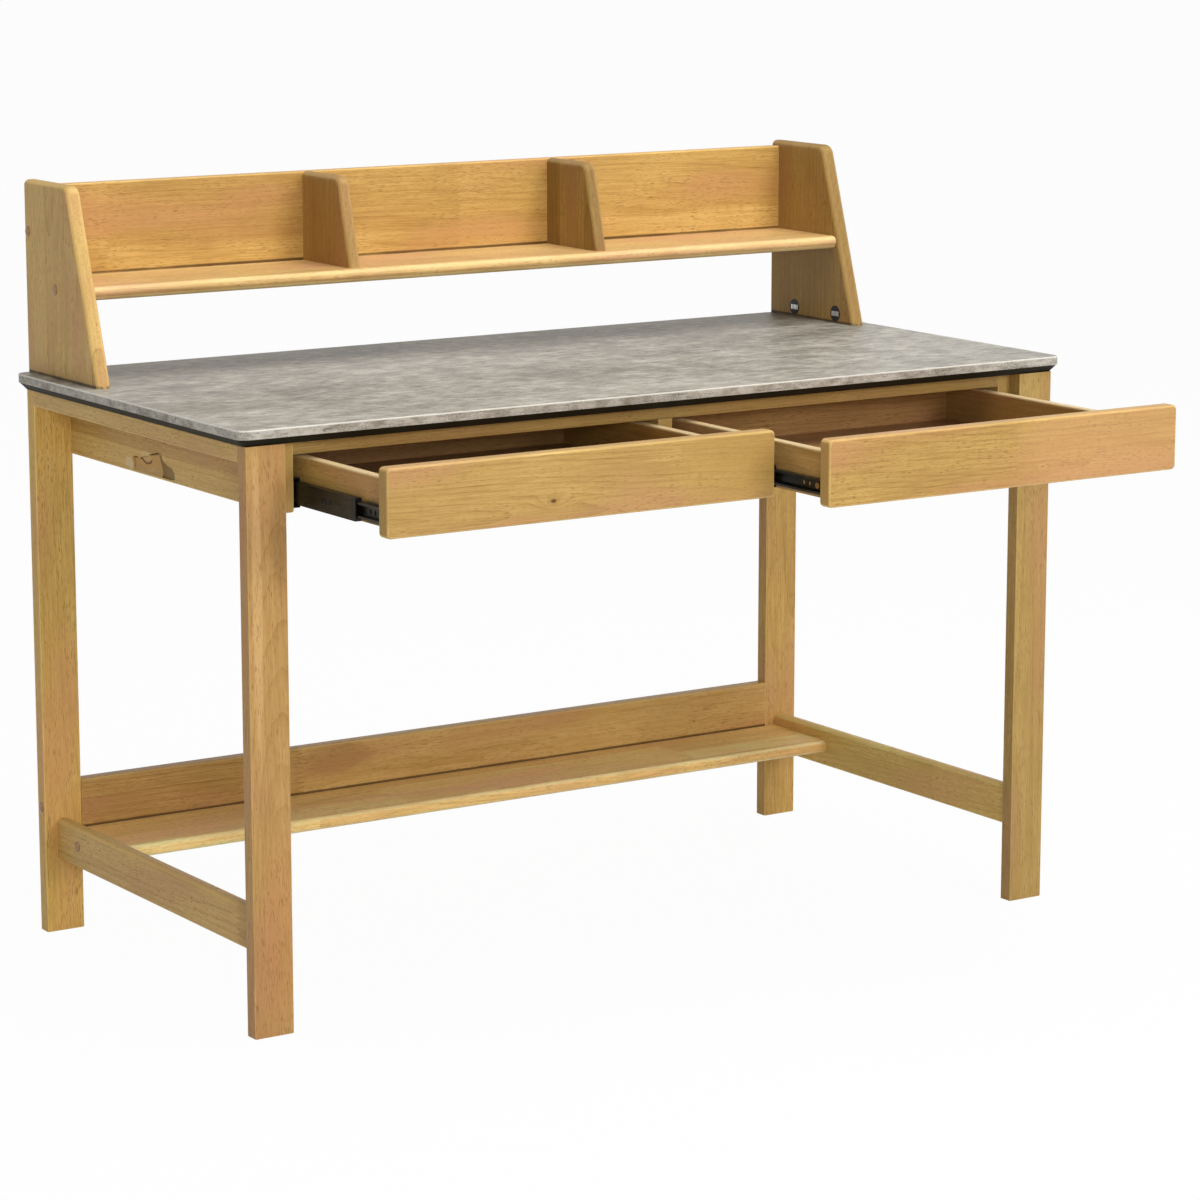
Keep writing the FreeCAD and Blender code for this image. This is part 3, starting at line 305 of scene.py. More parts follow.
class Nodes:
    """A tree of nodes and short ways to add to it."""

    def __init__(self, tree):
        self.tree = tree
        self.tree.nodes.clear()

    def feed(self, socket, value):
        """Links a value to a socket, or sets the socket to a plain one."""
        if isinstance(value, Value):
            self.tree.links.new(value.socket, socket)
        elif isinstance(value, bpy.types.NodeSocket):
            self.tree.links.new(value, socket)
        else:
            socket.default_value = value

    def add(self, kind, settings=None, inputs=None):
        """A node of a kind: its settings first, then the values or links of its sockets."""
        node = self.tree.nodes.new(kind)
        for name, value in (settings or {}).items():
            setattr(node, name, value)
        for name, value in (inputs or {}).items():
            self.feed(node.inputs[name], value)
        return node

    def maths(self, operation, *numbers):
        """One Math node."""
        node = self.add("ShaderNodeMath", {"operation": operation}, dict(enumerate(numbers)))
        return Value(self, node.outputs[0])

    def ease(self, value, low, high):
        """0 up to low, 1 from high on, and smooth between; the other way round if low is larger."""
        node = self.add(
            "ShaderNodeMapRange", {"interpolation_type": "SMOOTHSTEP"},
            {"Value": value, "From Min": low, "From Max": high},
        )
        return Value(self, node.outputs[0])

    def join(self, x, y, z):
        """A vector of three numbers."""
        return self.add("ShaderNodeCombineXYZ", None, {"X": x, "Y": y, "Z": z}).outputs[0]

    def split(self, vector):
        """The three numbers of a vector."""
        node = self.add("ShaderNodeSeparateXYZ", None, {0: vector})
        return [Value(self, socket) for socket in node.outputs]

    def noise(self, x, y, z, detail):
        """Smooth noise of about 0 to 1 at a place given in the noise's own cells."""
        node = self.add(
            "ShaderNodeTexNoise", {"noise_dimensions": "3D"},
            {"Vector": self.join(x, y, z), "Scale": 1.0, "Detail": detail, "Roughness": 0.55},
        )
        return Value(self, node.outputs[0])

    def grain(self, cells, detail):
        """Smooth noise over the piece, from the lengths of its cells along x, y and z."""
        return self.noise(*(number / cell for number, cell in zip(self.place(), cells)), detail)

    def dice(self, x, y, z):
        """Three numbers of 0 to 1 that differ wherever the place does."""
        node = self.add(
            "ShaderNodeTexWhiteNoise", {"noise_dimensions": "3D"}, {"Vector": self.join(x, y, z)},
        )
        return self.split(node.outputs["Color"])

    def mix(self, share, first, second):
        """A colour between two."""
        node = self.add("ShaderNodeMix", {"data_type": "RGBA", "blend_type": "MIX"}, {0: share})
        for socket, value in ((node.inputs[6], first), (node.inputs[7], second)):
            self.feed(socket, (*value, 1.0) if isinstance(value, tuple) else value)
        return node.outputs[2]

    def ramp(self, value, *stops):
        """A colour from a number, by (place, colour) stops."""
        node = self.add("ShaderNodeValToRGB", None, {0: value})
        elements = node.color_ramp.elements
        while len(elements) < len(stops):
            elements.new(0.5)
        for element, (place, colour) in zip(elements, stops):
            element.position = place
            element.color = (*colour, 1.0)
        return node.outputs[0]

    def place(self, middle=(0.0, 0.0, 0.0)):
        """The place on the piece as three numbers of millimetres from a point given in metres."""
        node = self.add(
            "ShaderNodeMapping", {"vector_type": "POINT"},
            {
                "Vector": self.add("ShaderNodeTexCoord").outputs["Object"],
                "Location": [-number * PER_METRE for number in middle],
                "Scale": [PER_METRE] * 3,
            },
        )
        return self.split(node.outputs[0])

    def facing(self):
        """The three numbers of the surface's direction."""
        return self.split(self.add("ShaderNodeTexCoord").outputs["Normal"])

    def surface(self, colour, roughness, height, depth, constants):
        """The finished surface; depth is the bumps' in millimetres."""
        shader = self.add("ShaderNodeBsdfPrincipled", None, constants)
        bump = self.add("ShaderNodeBump", None, {"Strength": 0.6, "Distance": depth * MM, "Height": height})
        for name, value in (("Base Color", colour), ("Roughness", roughness), ("Normal", bump.outputs[0])):
            self.feed(shader.inputs[name], value)
        self.add("ShaderNodeOutputMaterial", None, {"Surface": shader.outputs[0]})


def material(name):
    """A new material and its nodes."""
    made = bpy.data.materials.new(name)
    made.use_nodes = True
    return made, Nodes(made.node_tree)


def dress(node, finish):
    """Gives a node of the desk its finish."""
    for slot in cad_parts[node].material_slots:
        slot.material = finish


def chance(seed, which):
    """A number of 0 to 1 that belongs to a seed."""
    turned = math.sin(seed * 12.9898 + which * 78.233) * 43758.5453
    return turned - math.floor(turned)


class Board:
    """The pattern's own axes on a board: along the grain, across it and through the thickness."""

    def __init__(self, nodes, node, grain):
        low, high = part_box(node)
        self.nodes = nodes
        self.middle = [(a + b) / 2 for a, b in zip(low, high)]
        half = [(b - a) / 2 * PER_METRE for a, b in zip(low, high)]
        others = sorted((axis for axis in range(3) if AXES[axis] != grain), key=lambda axis: -half[axis])
        self.order = [AXES.index(grain)] + others
        self.half = [half[axis] for axis in self.order]
        place = nodes.place(self.middle)
        self.place = [place[axis] for axis in self.order]
        self.end = nodes.ease(abs(nodes.facing()[self.order[0]]), 0.6, 0.85)

    def off(self, place, *halves):
        """How far a point is from a place on the desk, counted in half lengths of an oval."""
        here = [place[axis] - self.middle[axis] * PER_METRE for axis in self.order]
        squares = [((value - at) / half) ** 2 for value, at, half in zip(self.place, here, halves)]
        return self.nodes.maths("SQRT", sum(squares[1:], squares[0]))

    def edge(self, width):
        """1 on the board's edges, falling to 0 at a width from them."""
        depths = [half - abs(value) for half, value in zip(self.half, self.place)]
        near = self.nodes.maths("MINIMUM", depths[1], depths[2])
        far = self.nodes.maths("MAXIMUM", depths[1], depths[2])
        second = self.nodes.maths("MINIMUM", far, self.nodes.maths("MAXIMUM", near, depths[0]))
        return self.nodes.ease(second, width, 0.0)


def wood(node, grain, seed, cast_and_painted_light=HONEY, lanes=None, knots=(), marks=(), wave=1.0, pith=None):
    """Dresses one board in rubberwood.

    lanes is (width, offset, length, start) of the glued strips, where a start of None gives
    every strip its own. knots are (place, radius) and marks are (place, half along, half across,
    colour, strength), with the place in the desk's millimetres. wave makes the figure livelier.
    pith is (aside, deep, lean aside, lean deep) of the heart of the tree.
    """
    finish, nodes = material(f"rubberwood_{node}")
    settings = bpy.context.scene.desk_wood
    board = Board(nodes, node, grain)
    along, across, through = board.place
    shift = seed * 37.7

    # Strips glued side by side, each finger-jointed from shorter pieces
    if lanes:
        width, offset, length, start = lanes
        lane = nodes.maths("FLOOR", (across + offset) / width)
        fingers = nodes.maths("PINGPONG", across, FINGER_PITCH / 2) * (2 * FINGER_DEPTH / FINGER_PITCH)
        begin = nodes.dice(lane, 0.5, shift)[0] * length if start is None else start
        cut = nodes.maths("FLOOR", (along + begin + fingers) / length)
        first, second, third = nodes.dice(lane, cut, shift)
        seam = nodes.ease(nodes.maths("PINGPONG", across + offset, width / 2), 0.35, 0.0)
    else:
        first, second, third = (chance(seed, which) for which in range(3))
        seam = 0.0

    # Growth rings cut at a slant
    drift = nodes.noise(along / 260, across / 60 + shift, through / 60, 1.0) - 0.5
    swirl = nodes.noise(along / 75, across / 17, through / 17 + shift, 2.0) - 0.5
    aside = across + drift * (16 * wave) + (first - 0.5) * 130 + along * ((third - 0.5) * 0.10)
    deep = through + 22 + second * 60 + along * ((first - 0.5) * 0.16)
    if pith:
        aside = across + drift * (8 * wave) - pith[0] + along * pith[2]
        deep = through + pith[1] + along * pith[3]
    radius = nodes.maths("SQRT", aside * aside + deep * deep) + swirl * (3.4 * wave)
    for place, size in knots:
        radius = radius + nodes.ease(board.off(place, 2.6, 1.0), size * 4.5, 0.0) * (size * 3.0)
    ring = radius / (settings.ring_spacing * PER_METRE)
    strength = nodes.dice(nodes.maths("FLOOR", ring), shift, 0.5)[0]
    line = (nodes.maths("FRACT", ring) ** 4) * (strength * 0.8 + 0.2)

    # Streaks, mottling and pores, which lie along the rings
    flow = across + radius * 0.22
    streak = nodes.noise(along / 170, flow / 2.4 + shift, through / 2.4, 2.0) - 0.5
    fibre = nodes.noise(along / 34, flow / 1.1, through / 1.1 + shift, 1.0) - 0.5
    mottle = nodes.noise(along / 85 + shift, across / 24, through / 24, 3.0) - 0.5
    cast = nodes.noise(along / 240, across / 70 + shift, through / 70, 1.0)
    dash = nodes.noise(along / (settings.pore_length * PER_METRE), flow / 0.8 + shift, through / 0.8, 0.0)
    pores = nodes.ease(dash, 0.61, 0.73) * (nodes.ease(mottle, -0.14, 0.16) * 0.65 + 0.35)

    # The tone runs from brown over honey to pale, and drifts to pink in places
    tone = 0.5 + ((second - 0.5) * 0.32) + (cast - 0.5) * -0.3 + streak * 0.4 + fibre * 0.42 + mottle * 0.34
    tone = tone - line * (0.15 + 0.07 * wave) - seam * 0.14
    # The board's cast scales the three wood colours; on many boards it is painted light or painted shade
    brown, honey, pale = [
        tuple(min(number * factor, 0.92) for number, factor in zip(colour, cast_and_painted_light))
        for colour in (settings.brown, settings.honey, settings.pale)
    ]
    colour = nodes.ramp(tone, (0.05, brown), (0.5, honey), (0.95, pale))
    blush = tuple(number * factor for number, factor in zip(settings.blush, cast_and_painted_light))
    colour = nodes.mix(nodes.ease(cast, 0.46, 0.72) * 0.6, colour, blush)

    # Knots and other marks of this board
    for place, size in knots:
        reach = board.off(place, 1.7, 1.0) + swirl * size
        colour = nodes.mix(nodes.ease(reach, size * 2.2, 0.0) * 0.5, colour, tuple(settings.brown))
        colour = nodes.mix(nodes.ease(reach, size * 0.8, size * 0.35) * 0.85, colour, tuple(settings.knot))
    for place, half_along, half_across, mark, amount in marks:
        reach = board.off(place, half_along, half_across, MARK_DEPTH) + mottle * 0.6
        colour = nodes.mix(nodes.ease(reach, 1.2, 0.6) * amount, colour, srgb(*mark))
    colour = nodes.mix(pores * 0.5, colour, tuple(settings.pore))

    # End grain is darker and speckled, and the edges get a pale band that is a painted highlight
    speckle = nodes.noise(across / 0.9, through / 0.9, shift, 1.0)
    colour = nodes.mix(board.end * (0.5 + speckle * 0.4), colour, tuple(number * 0.74 for number in honey))
    edge_glint = board.edge(settings.edge_width * PER_METRE) * nodes.ease(mottle, -0.12, 0.22)
    colour = nodes.mix(edge_glint * 0.4, colour, pale)
    # Painted highlight on the rounded edges, where the surface turns between its flat faces
    facing = [abs(number) for number in nodes.facing()]
    flat = nodes.maths("MAXIMUM", nodes.maths("MAXIMUM", facing[0], facing[1]), facing[2])
    rounding_glint = nodes.ease(flat, 0.975, 0.86) * (0.55 + mottle)
    colour = nodes.mix(rounding_glint * 0.6, colour, tuple(min(number * 1.18, 0.9) for number in pale))

    roughness = settings.gloss + pores * 0.16 + mottle * 0.16 + board.end * 0.15 - edge_glint * 0.08
    height = fibre * 0.5 - pores * 0.9 - line * 0.3 - seam * 0.5
    nodes.surface(colour, roughness, height, 0.14, LACQUER)
    dress(node, finish)


def laminate_finish():
    """Grey stone-look laminate: clouds, streaks along the desk and stained, paler edges, with a painted
    highlight along the top rim.
    """
    finish, nodes = material("grey_laminate_stone")
    settings = bpy.context.scene.desk_top
    x, y, z = nodes.place()
    up = nodes.facing()[2]
    cloud = settings.cloud * PER_METRE
    broad = nodes.noise(x / (cloud * 1.9), y / cloud, z / cloud, 3.0) - 0.5
    patchy = nodes.noise(x / (cloud * 0.36) + 7.3, y / (cloud * 0.24), z / 30, 6.0) - 0.5
    streaks = nodes.noise(x / 22 + 3.1, y / 10, z / 5.5, 5.0) - 0.5
    scratch = nodes.noise(x / 19, y / 6.5 + 9.7, z / 2.4, 1.0)
    grit = nodes.noise(x / 2.6, y / 2.2, z / 1.6, 3.0) - 0.5
    wall = nodes.ease(abs(up), 0.75, 0.35)
    pale_scratch = nodes.ease(scratch, 0.62, 0.74)
    tone = 0.5 + broad * 0.7 + patchy * 1.1 + streaks * 0.95 + grit * (0.7 + wall * 0.6)
    tone = tone + pale_scratch * 0.25 - nodes.ease(scratch, 0.38, 0.28) * 0.3 + wall * 0.18
    greys = [tuple(grey) for grey in (settings.dark, settings.middle, settings.light)]
    colour = nodes.ramp(tone, *zip((0.14, 0.5, 0.85), greys))
    blotch = nodes.noise((x + y) / 26, (x - y) / 26, z / 12 + 2.2, 4.0)
    colour = nodes.mix(wall * nodes.ease(blotch, 0.42, 0.7) * 0.55, colour, tuple(settings.stain))
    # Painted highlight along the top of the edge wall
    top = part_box("desk_top_laminate")[1][2] * PER_METRE
    rim_glint = nodes.ease(z, top - 2.4, top - 1.2) * nodes.ease(up, 0.995, 0.93)
    colour = nodes.mix(rim_glint * (0.75 + grit * 0.6), colour, srgb(226, 222, 212))
    roughness = settings.gloss + patchy * 0.3 + grit * 0.1
    nodes.surface(colour, roughness, grit * 0.6 + pale_scratch * 0.5, 0.08, {"Specular IOR Level": 0.3})
    return finish


def black_board_finish():
    """Black-stained fibreboard: the bevel under the laminate and the top's underside."""
    finish, nodes = material("black_stained_fibreboard")
    fluff = nodes.grain((2.4, 2.4, 1.1), 4.0) - 0.5
    cloud = nodes.grain((60, 60, 20), 2.0) - 0.5
    rub = nodes.grain((9, 9, 3), 2.0)
    colour = nodes.ramp(0.5 + fluff * 0.7 + cloud * 0.5, (0.2, srgb(15, 14, 9)), (0.8, srgb(42, 39, 26)))
    colour = nodes.mix(nodes.ease(rub, 0.66, 0.8) * 0.4, colour, srgb(66, 56, 42))
    nodes.surface(colour, 0.6 + fluff * 0.3, fluff, 0.1, {"Specular IOR Level": 0.12})
    return finish


def brown_board_finish():
    """Brown printed board of the drawer bottoms."""
    finish, nodes = material("brown_printed_board")
    streak = nodes.grain((150, 2.6, 1), 3.0) - 0.5
    cloud = nodes.grain((110, 60, 1), 2.0) - 0.5
    dash = nodes.grain((12, 0.7, 1), 0.0)
    tone = 0.5 + streak * 0.8 + cloud * 0.5
    colour = nodes.ramp(
        tone, (0.2, srgb(130, 90, 54)), (0.5, srgb(162, 118, 74)), (0.85, srgb(186, 142, 94)),
    )
    colour = nodes.mix(nodes.ease(dash, 0.64, 0.75) * 0.4, colour, srgb(104, 68, 36))
    nodes.surface(colour, 0.52 + streak * 0.2, streak, 0.05, {"Specular IOR Level": 0.3})
    return finish


def black_steel_finish(name="black_coated_steel", slots=()):
    """Black coated steel of the slides, with lighter olive blotches that are painted sheen and grease.

    slots are (y, z, half length, half height) of openings pressed through it, in millimetres; they are painted
    dark as the shade seen through them.
    """
    finish, nodes = material(name)
    place = nodes.place()
    rolled = nodes.grain((1.5, 60, 0.8), 3.0) - 0.5
    grease_and_sheen = nodes.grain((9, 22, 6), 3.0)
    base = tuple(bpy.context.scene.desk_metal.black_steel)
    # Lighter olive blotches: painted sheen, and grease
    colour = nodes.mix(nodes.ease(grease_and_sheen, 0.4, 0.75) * 0.5, base, srgb(50, 48, 32))
    colour = nodes.mix(nodes.ease(rolled, 0.16, 0.3) * 0.35, colour, srgb(20, 18, 14))
    roughness = 0.3 + rolled * 0.25 + nodes.ease(grease_and_sheen, 0.4, 0.7) * 0.16
    # Each slot is painted near-black as the shade seen through the opening
    for at_y, at_z, half_length, half_height in slots:
        square = ((place[1] - at_y) / half_length) ** 4 + ((place[2] - at_z) / half_height) ** 4
        hole_shade = nodes.ease(nodes.maths("SQRT", square), 1.25, 0.8)
        colour = nodes.mix(hole_shade * 0.95, colour, srgb(6, 5, 4))
        roughness = roughness + hole_shade * 0.4
    nodes.surface(colour, roughness, rolled, 0.04, {"Metallic": 0.35, "Specular IOR Level": 0.4})
    return finish


def zinc_finish():
    """Zinc-plated steel with fine turning lines and a cloudy, yellowish bloom."""
    finish, nodes = material("zinc_plated_steel")
    cloud = nodes.grain((3, 3, 3), 3.0)
    lines = nodes.grain((0.4, 0.4, 0.4), 2.0) - 0.5
    base = tuple(bpy.context.scene.desk_metal.zinc)
    colour = nodes.mix(nodes.ease(cloud, 0.4, 0.75) * 0.5, base, srgb(168, 160, 132))
    roughness = 0.3 + lines * 0.2 + nodes.ease(cloud, 0.5, 0.8) * 0.12
    nodes.surface(colour, roughness, lines, 0.03, {"Metallic": 1.0})
    return finish


def copper_finish():
    """Yellow-passivated screws that look coppery between the black members."""
    finish, nodes = material("yellow_passivated_steel")
    cloud = nodes.grain((1.6, 1.6, 1.6), 3.0)
    colour = nodes.mix(nodes.ease(cloud, 0.35, 0.7), srgb(136, 104, 50), srgb(172, 138, 74))
    nodes.surface(colour, 0.32 + cloud * 0.1, cloud, 0.03, {"Metallic": 0.6})
    return finish


def recess_shade_finish():
    """The dark bottom of a screw's cross recess, as painted shade; the cams wear it as the shade between their
    ribs.
    """
    finish, nodes = material("screw_recess")
    shade_mottle = nodes.grain((0.5, 0.5, 0.5), 2.0)
    colour = nodes.mix(shade_mottle, srgb(14, 11, 8), srgb(46, 36, 24))
    nodes.surface(colour, 0.6 + shade_mottle * 0.2, shade_mottle, 0.03, {"Metallic": 0.3})
    return finish


def bronze_finish():
    """Bronze-coloured bolt covers, with painted shade darkening the rim of each dome around its crown."""
    finish, nodes = material("bronze_cover_plastic")
    cloud = nodes.grain((2.5, 2.5, 2.5), 3.0)
    pebble = nodes.grain((0.5, 0.5, 0.5), 2.0) - 0.5
    base = tuple(bpy.context.scene.desk_metal.bronze)
    colour = nodes.mix(nodes.ease(cloud, 0.4, 0.75) * 0.5, base, srgb(128, 92, 56))
    # Painted shade: the dome darkens where it turns away from its crown
    colour = nodes.mix(nodes.ease(abs(nodes.facing()[0]), 0.9, 0.76) * 0.8, colour, srgb(84, 54, 24))
    nodes.surface(colour, 0.26 + pebble * 0.12, pebble, 0.03, {"Metallic": 0.15, "Specular IOR Level": 0.6})
    return finish


def black_plastic_finish():
    """Black moulded plastic of the cam housings and the slide bumpers."""
    finish, nodes = material("black_moulded_plastic")
    pebble = nodes.grain((0.6, 0.6, 0.6), 3.0) - 0.5
    cloud = nodes.grain((7, 7, 7), 2.0)
    colour = nodes.mix(nodes.ease(cloud, 0.4, 0.8) * 0.6, srgb(14, 13, 12), srgb(34, 33, 30))
    nodes.surface(colour, 0.4 + pebble * 0.25, pebble, 0.05, {"Specular IOR Level": 0.25})
    return finish


def dowel_finish():
    """Pale beech dowels with the dark little flecks that beech shows."""
    finish, nodes = material("beech_dowel")
    fleck = nodes.grain((1.4, 1.4, 1.4), 2.0)
    fibre = nodes.grain((4, 4, 4), 4.0)
    colour = nodes.ramp(fibre, (0.3, srgb(178, 136, 92)), (0.7, srgb(212, 172, 124)))
    colour = nodes.mix(nodes.ease(fleck, 0.62, 0.74) * 0.5, colour, srgb(120, 80, 44))
    nodes.surface(colour, 0.6 + fibre * 0.2, fibre, 0.05, {"Specular IOR Level": 0.3})
    return finish


def hollow_finish():
    """Bare-looking wood of the hollow: warm floor, painted shade under the roof, the lump and along the crest,
    and a hatched scoop.
    """
    finish, nodes = material("hollow_wood")
    place = nodes.place()
    marks = nodes.add("ShaderNodeAttribute", {"attribute_name": "marks"})
    # The first channel of the marks is painted shade under the roof, under the lump and along the crest
    dark, warm, scoop = nodes.split(marks.outputs["Color"])
    fibre = nodes.grain((1.2, 16, 1.1), 2.0) - 0.5
    cloud = nodes.grain((8, 14, 6), 3.0) - 0.5
    hatch = nodes.maths("PINGPONG", place[1] * 0.6 + place[2] * 0.8, 1.1)
    tone = 0.5 + fibre * 0.6 + cloud * 0.7
    colour = nodes.ramp(tone, (0.2, srgb(176, 142, 88)), (0.8, srgb(214, 182, 128)))
    colour = nodes.mix(warm * 0.65, colour, srgb(190, 146, 82))
    colour = nodes.mix(scoop * (0.6 + hatch * 0.3), colour, srgb(116, 90, 44))
    # Painted shade
    colour = nodes.mix(nodes.ease(dark + cloud * 0.3, 0.2, 0.9), colour, srgb(86, 56, 20))
    height = fibre + hatch * scoop * 0.5
    nodes.surface(colour, 0.55 + cloud * 0.2, height, 0.2, {"Specular IOR Level": 0.15})
    return finish


def piece(name, mesh, body):
    """A finished piece at the origin that moves with a body of the desk."""
    mesh.name = name
    made = bpy.data.objects.new(name, mesh)
    bpy.context.scene.collection.objects.link(made)
    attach(made, body)


class Growth(Nodes):
    """A tree of Geometry Nodes that repeats a form on loose points."""

    def __init__(self, name, inputs):
        super().__init__(bpy.data.node_groups.new(name, "GeometryNodeTree"))
        sockets = self.tree.interface
        sockets.new_socket("Geometry", in_out="INPUT", socket_type="NodeSocketGeometry")
        self.names = {
            label: sockets.new_socket(label, in_out="INPUT", socket_type=f"NodeSocket{kind}").identifier
            for label, kind in inputs.items()
        }
        sockets.new_socket("Geometry", in_out="OUTPUT", socket_type="NodeSocketGeometry")
        self.given = self.add("NodeGroupInput")

    def get(self, label):
        """One of the tree's inputs."""
        return self.given.outputs[label]

    def spread(self, points, form):
        """Real copies of a form on points."""
        copies = self.add("GeometryNodeInstanceOnPoints", None, {"Points": points, "Instance": form})
        return self.add("GeometryNodeRealizeInstances", None, {"Geometry": copies.outputs[0]}).outputs[0]

    def rows(self):
        """Rows of points, one from each loose point."""
        line = self.add("GeometryNodeMeshLine", None, {
            "Count": self.get("Count"), "Offset": self.get("Spacing"),
        })
        return self.spread(self.get("Geometry"), line.outputs[0])

    def close(self, geometry):
        """Coats the result and ends the tree."""
        coated = self.add("GeometryNodeSetMaterial", None, {
            "Geometry": geometry, "Material": self.get("Material"),
        })
        self.add("NodeGroupOutput", None, {"Geometry": coated.outputs[0]})

    def grow(self, name, points, values, body):
        """Runs the tree on loose points and leaves the result as a plain piece of a body."""
        seeds = bpy.data.meshes.new(f"{name}_points")
        seeds.from_pydata([tuple(point) for point in points], [], [])
        carrier = bpy.data.objects.new(f"{name}_carrier", seeds)
        bpy.context.scene.collection.objects.link(carrier)
        modifier = carrier.modifiers.new(name, "NODES")
        modifier.node_group = self.tree
        for label, value in values.items():
            modifier[self.names[label]] = value
        bpy.context.view_layer.update()
        graph = bpy.context.evaluated_depsgraph_get()
        mesh = bpy.data.meshes.new_from_object(
            carrier.evaluated_get(graph), preserve_all_data_layers=True, depsgraph=graph,
        )
        carrier.modifiers.remove(modifier)
        bpy.data.objects.remove(carrier)
        piece(name, mesh, body)


def lumps(node):
    """The separate solids of a node, each as (points, lowest corner, highest corner)."""
    shape = bmesh.new()
    shape.from_mesh(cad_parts[node].data)
    bmesh.ops.remove_doubles(shape, verts=shape.verts, dist=MM / 1000)
    found = []
    seen = set()
    for start in shape.verts:
        if start in seen:
            continue
        seen.add(start)
        members = [start]
        # The list grows while it is walked, until the solid has no further corner
        for vert in members:
            for other in (edge.other_vert(vert) for edge in vert.link_edges):
                if other not in seen:
                    seen.add(other)
                    members.append(other)
        points = [vert.co.copy() for vert in members]
        low = Vector([min(point[axis] for point in points) for axis in range(3)])
        high = Vector([max(point[axis] for point in points) for axis in range(3)])
        found.append((points, low, high))
    shape.free()
    return found


def head_face(points, low, high):
    """Middle of a screw's head, which lies at the end of its box where the mesh is widest."""
    middle = (low + high) / 2
    widths = [0.0, 0.0]
    for point in points:
        end = 0 if point.x < middle.x else 1
        widths[end] = max(widths[end], math.hypot(point.y - middle.y, point.z - middle.z))
    face = low.x - CROSS_GAP if widths[0] > widths[1] else high.x + CROSS_GAP
    return (face, middle.y, middle.z)


def slots_in(member):
    """The slots of a middle member, as (y, z, half length, half height)."""
    front = member[0][1] * PER_METRE
    height = (member[0][2] + member[1][2]) / 2 * PER_METRE
    return [
        (front + setback, height, half_length, half_height)
        for setback, half_length, half_height in SLOTS
    ]


def row_starts(outer, inner):
    """First balls of the upper and the lower row between an outer and an inner member."""
    x = (max(outer[0][0], inner[0][0]) + min(outer[1][0], inner[1][0])) / 2
    upper = (outer[1][2] - SHEET + inner[1][2]) / 2
    lower = (outer[0][2] + SHEET + inner[0][2]) / 2
    return [(x, outer[0][1] + BALL_SETBACK, height) for height in (upper, lower)]


class DESK_OT_frame(bpy.types.Operator):
    """Give the legs, rails and case boards their wood"""

    bl_idname = "desk.frame_wood"
    bl_label = "Legs, rails and case"

    def execute(self, context):
        wood("front_left_leg", "z", 1, ROSY, wave=1.3, pith=(14, 48, 0.0, 0.11), marks=(
            ((-577, -136, 520), 210, 7, (222, 184, 128), 0.4),
            ((-548, -136, 600), 70, 11, (140, 104, 58), 0.45),
            ((-552, -136, 120), 130, 22, (188, 132, 84), 0.4),
        ))
        wood("rear_left_leg", "z", 2, REAR_LEG_PAINTED_LIGHT, wave=0.8)
        wood("front_right_leg", "z", 3, FRONT_LEG_PAINTED_SHADE, wave=0.8)
        wood("rear_right_leg", "z", 4, wave=0.8)
        wood("left_top_rail", "y", 5, knots=(((-564, 147, 696), 5), ((-564, 41, 694), 4)))
        wood("right_top_rail", "y", 6)
        wood("front_rail", "x", 9, SHADED)
        wood("rear_rail", "x", 10)
        wood("centre_divider", "y", 11)
        wood("left_case_side", "y", 7, lanes=(46, 12, 420, None), marks=(
            ((-HOLLOW_FACE, 257, 626.5), 12.5, 8, (214, 190, 142), 0.95),
            ((-HOLLOW_FACE, 214, 642), 14, 4.5, CREAM, 0.8),
            ((-HOLLOW_FACE, 186, 617.5), 30, 2, CREAM, 0.6),
        ))
        wood("right_case_side", "y", 8, lanes=(46, 12, 420, None))
        return {"FINISHED"}


class DESK_OT_foot_shelf(bpy.types.Operator):
    """Give the stretchers, the foot shelf and the board behind it their wood"""

    bl_idname = "desk.foot_shelf"
    bl_label = "Foot shelf"

    def execute(self, context):
        wood("left_stretcher", "y", 12, lanes=(90, 45, 900, 212))
        wood("right_stretcher", "y", 13, STRETCHER_PAINTED_LIGHT, lanes=(90, 45, 370, None))
        wood("lower_shelf", "x", 14, FOOT_SHELF_PAINTED_LIGHT, lanes=(44, 8, 460, None))
        wood(
            "lower_back_board", "x", 15, BACK_BOARD_PAINTED_SHADE, lanes=(95, 47, 620, 212), wave=1.2,
            knots=(((414, 420, 154), 1.6),), marks=(
                ((-166, 420, 178), 60, 24, (128, 88, 46), 0.36),
                ((-262, 420, 160), 44, 44, (206, 168, 104), 0.34),
                # Painted shade where the foot shelf meets this board
                ((0, 420, 132.5), BOARD_RUN, 3.0, CREASE_SHADE, 0.85),
            ),
        )
        return {"FINISHED"}


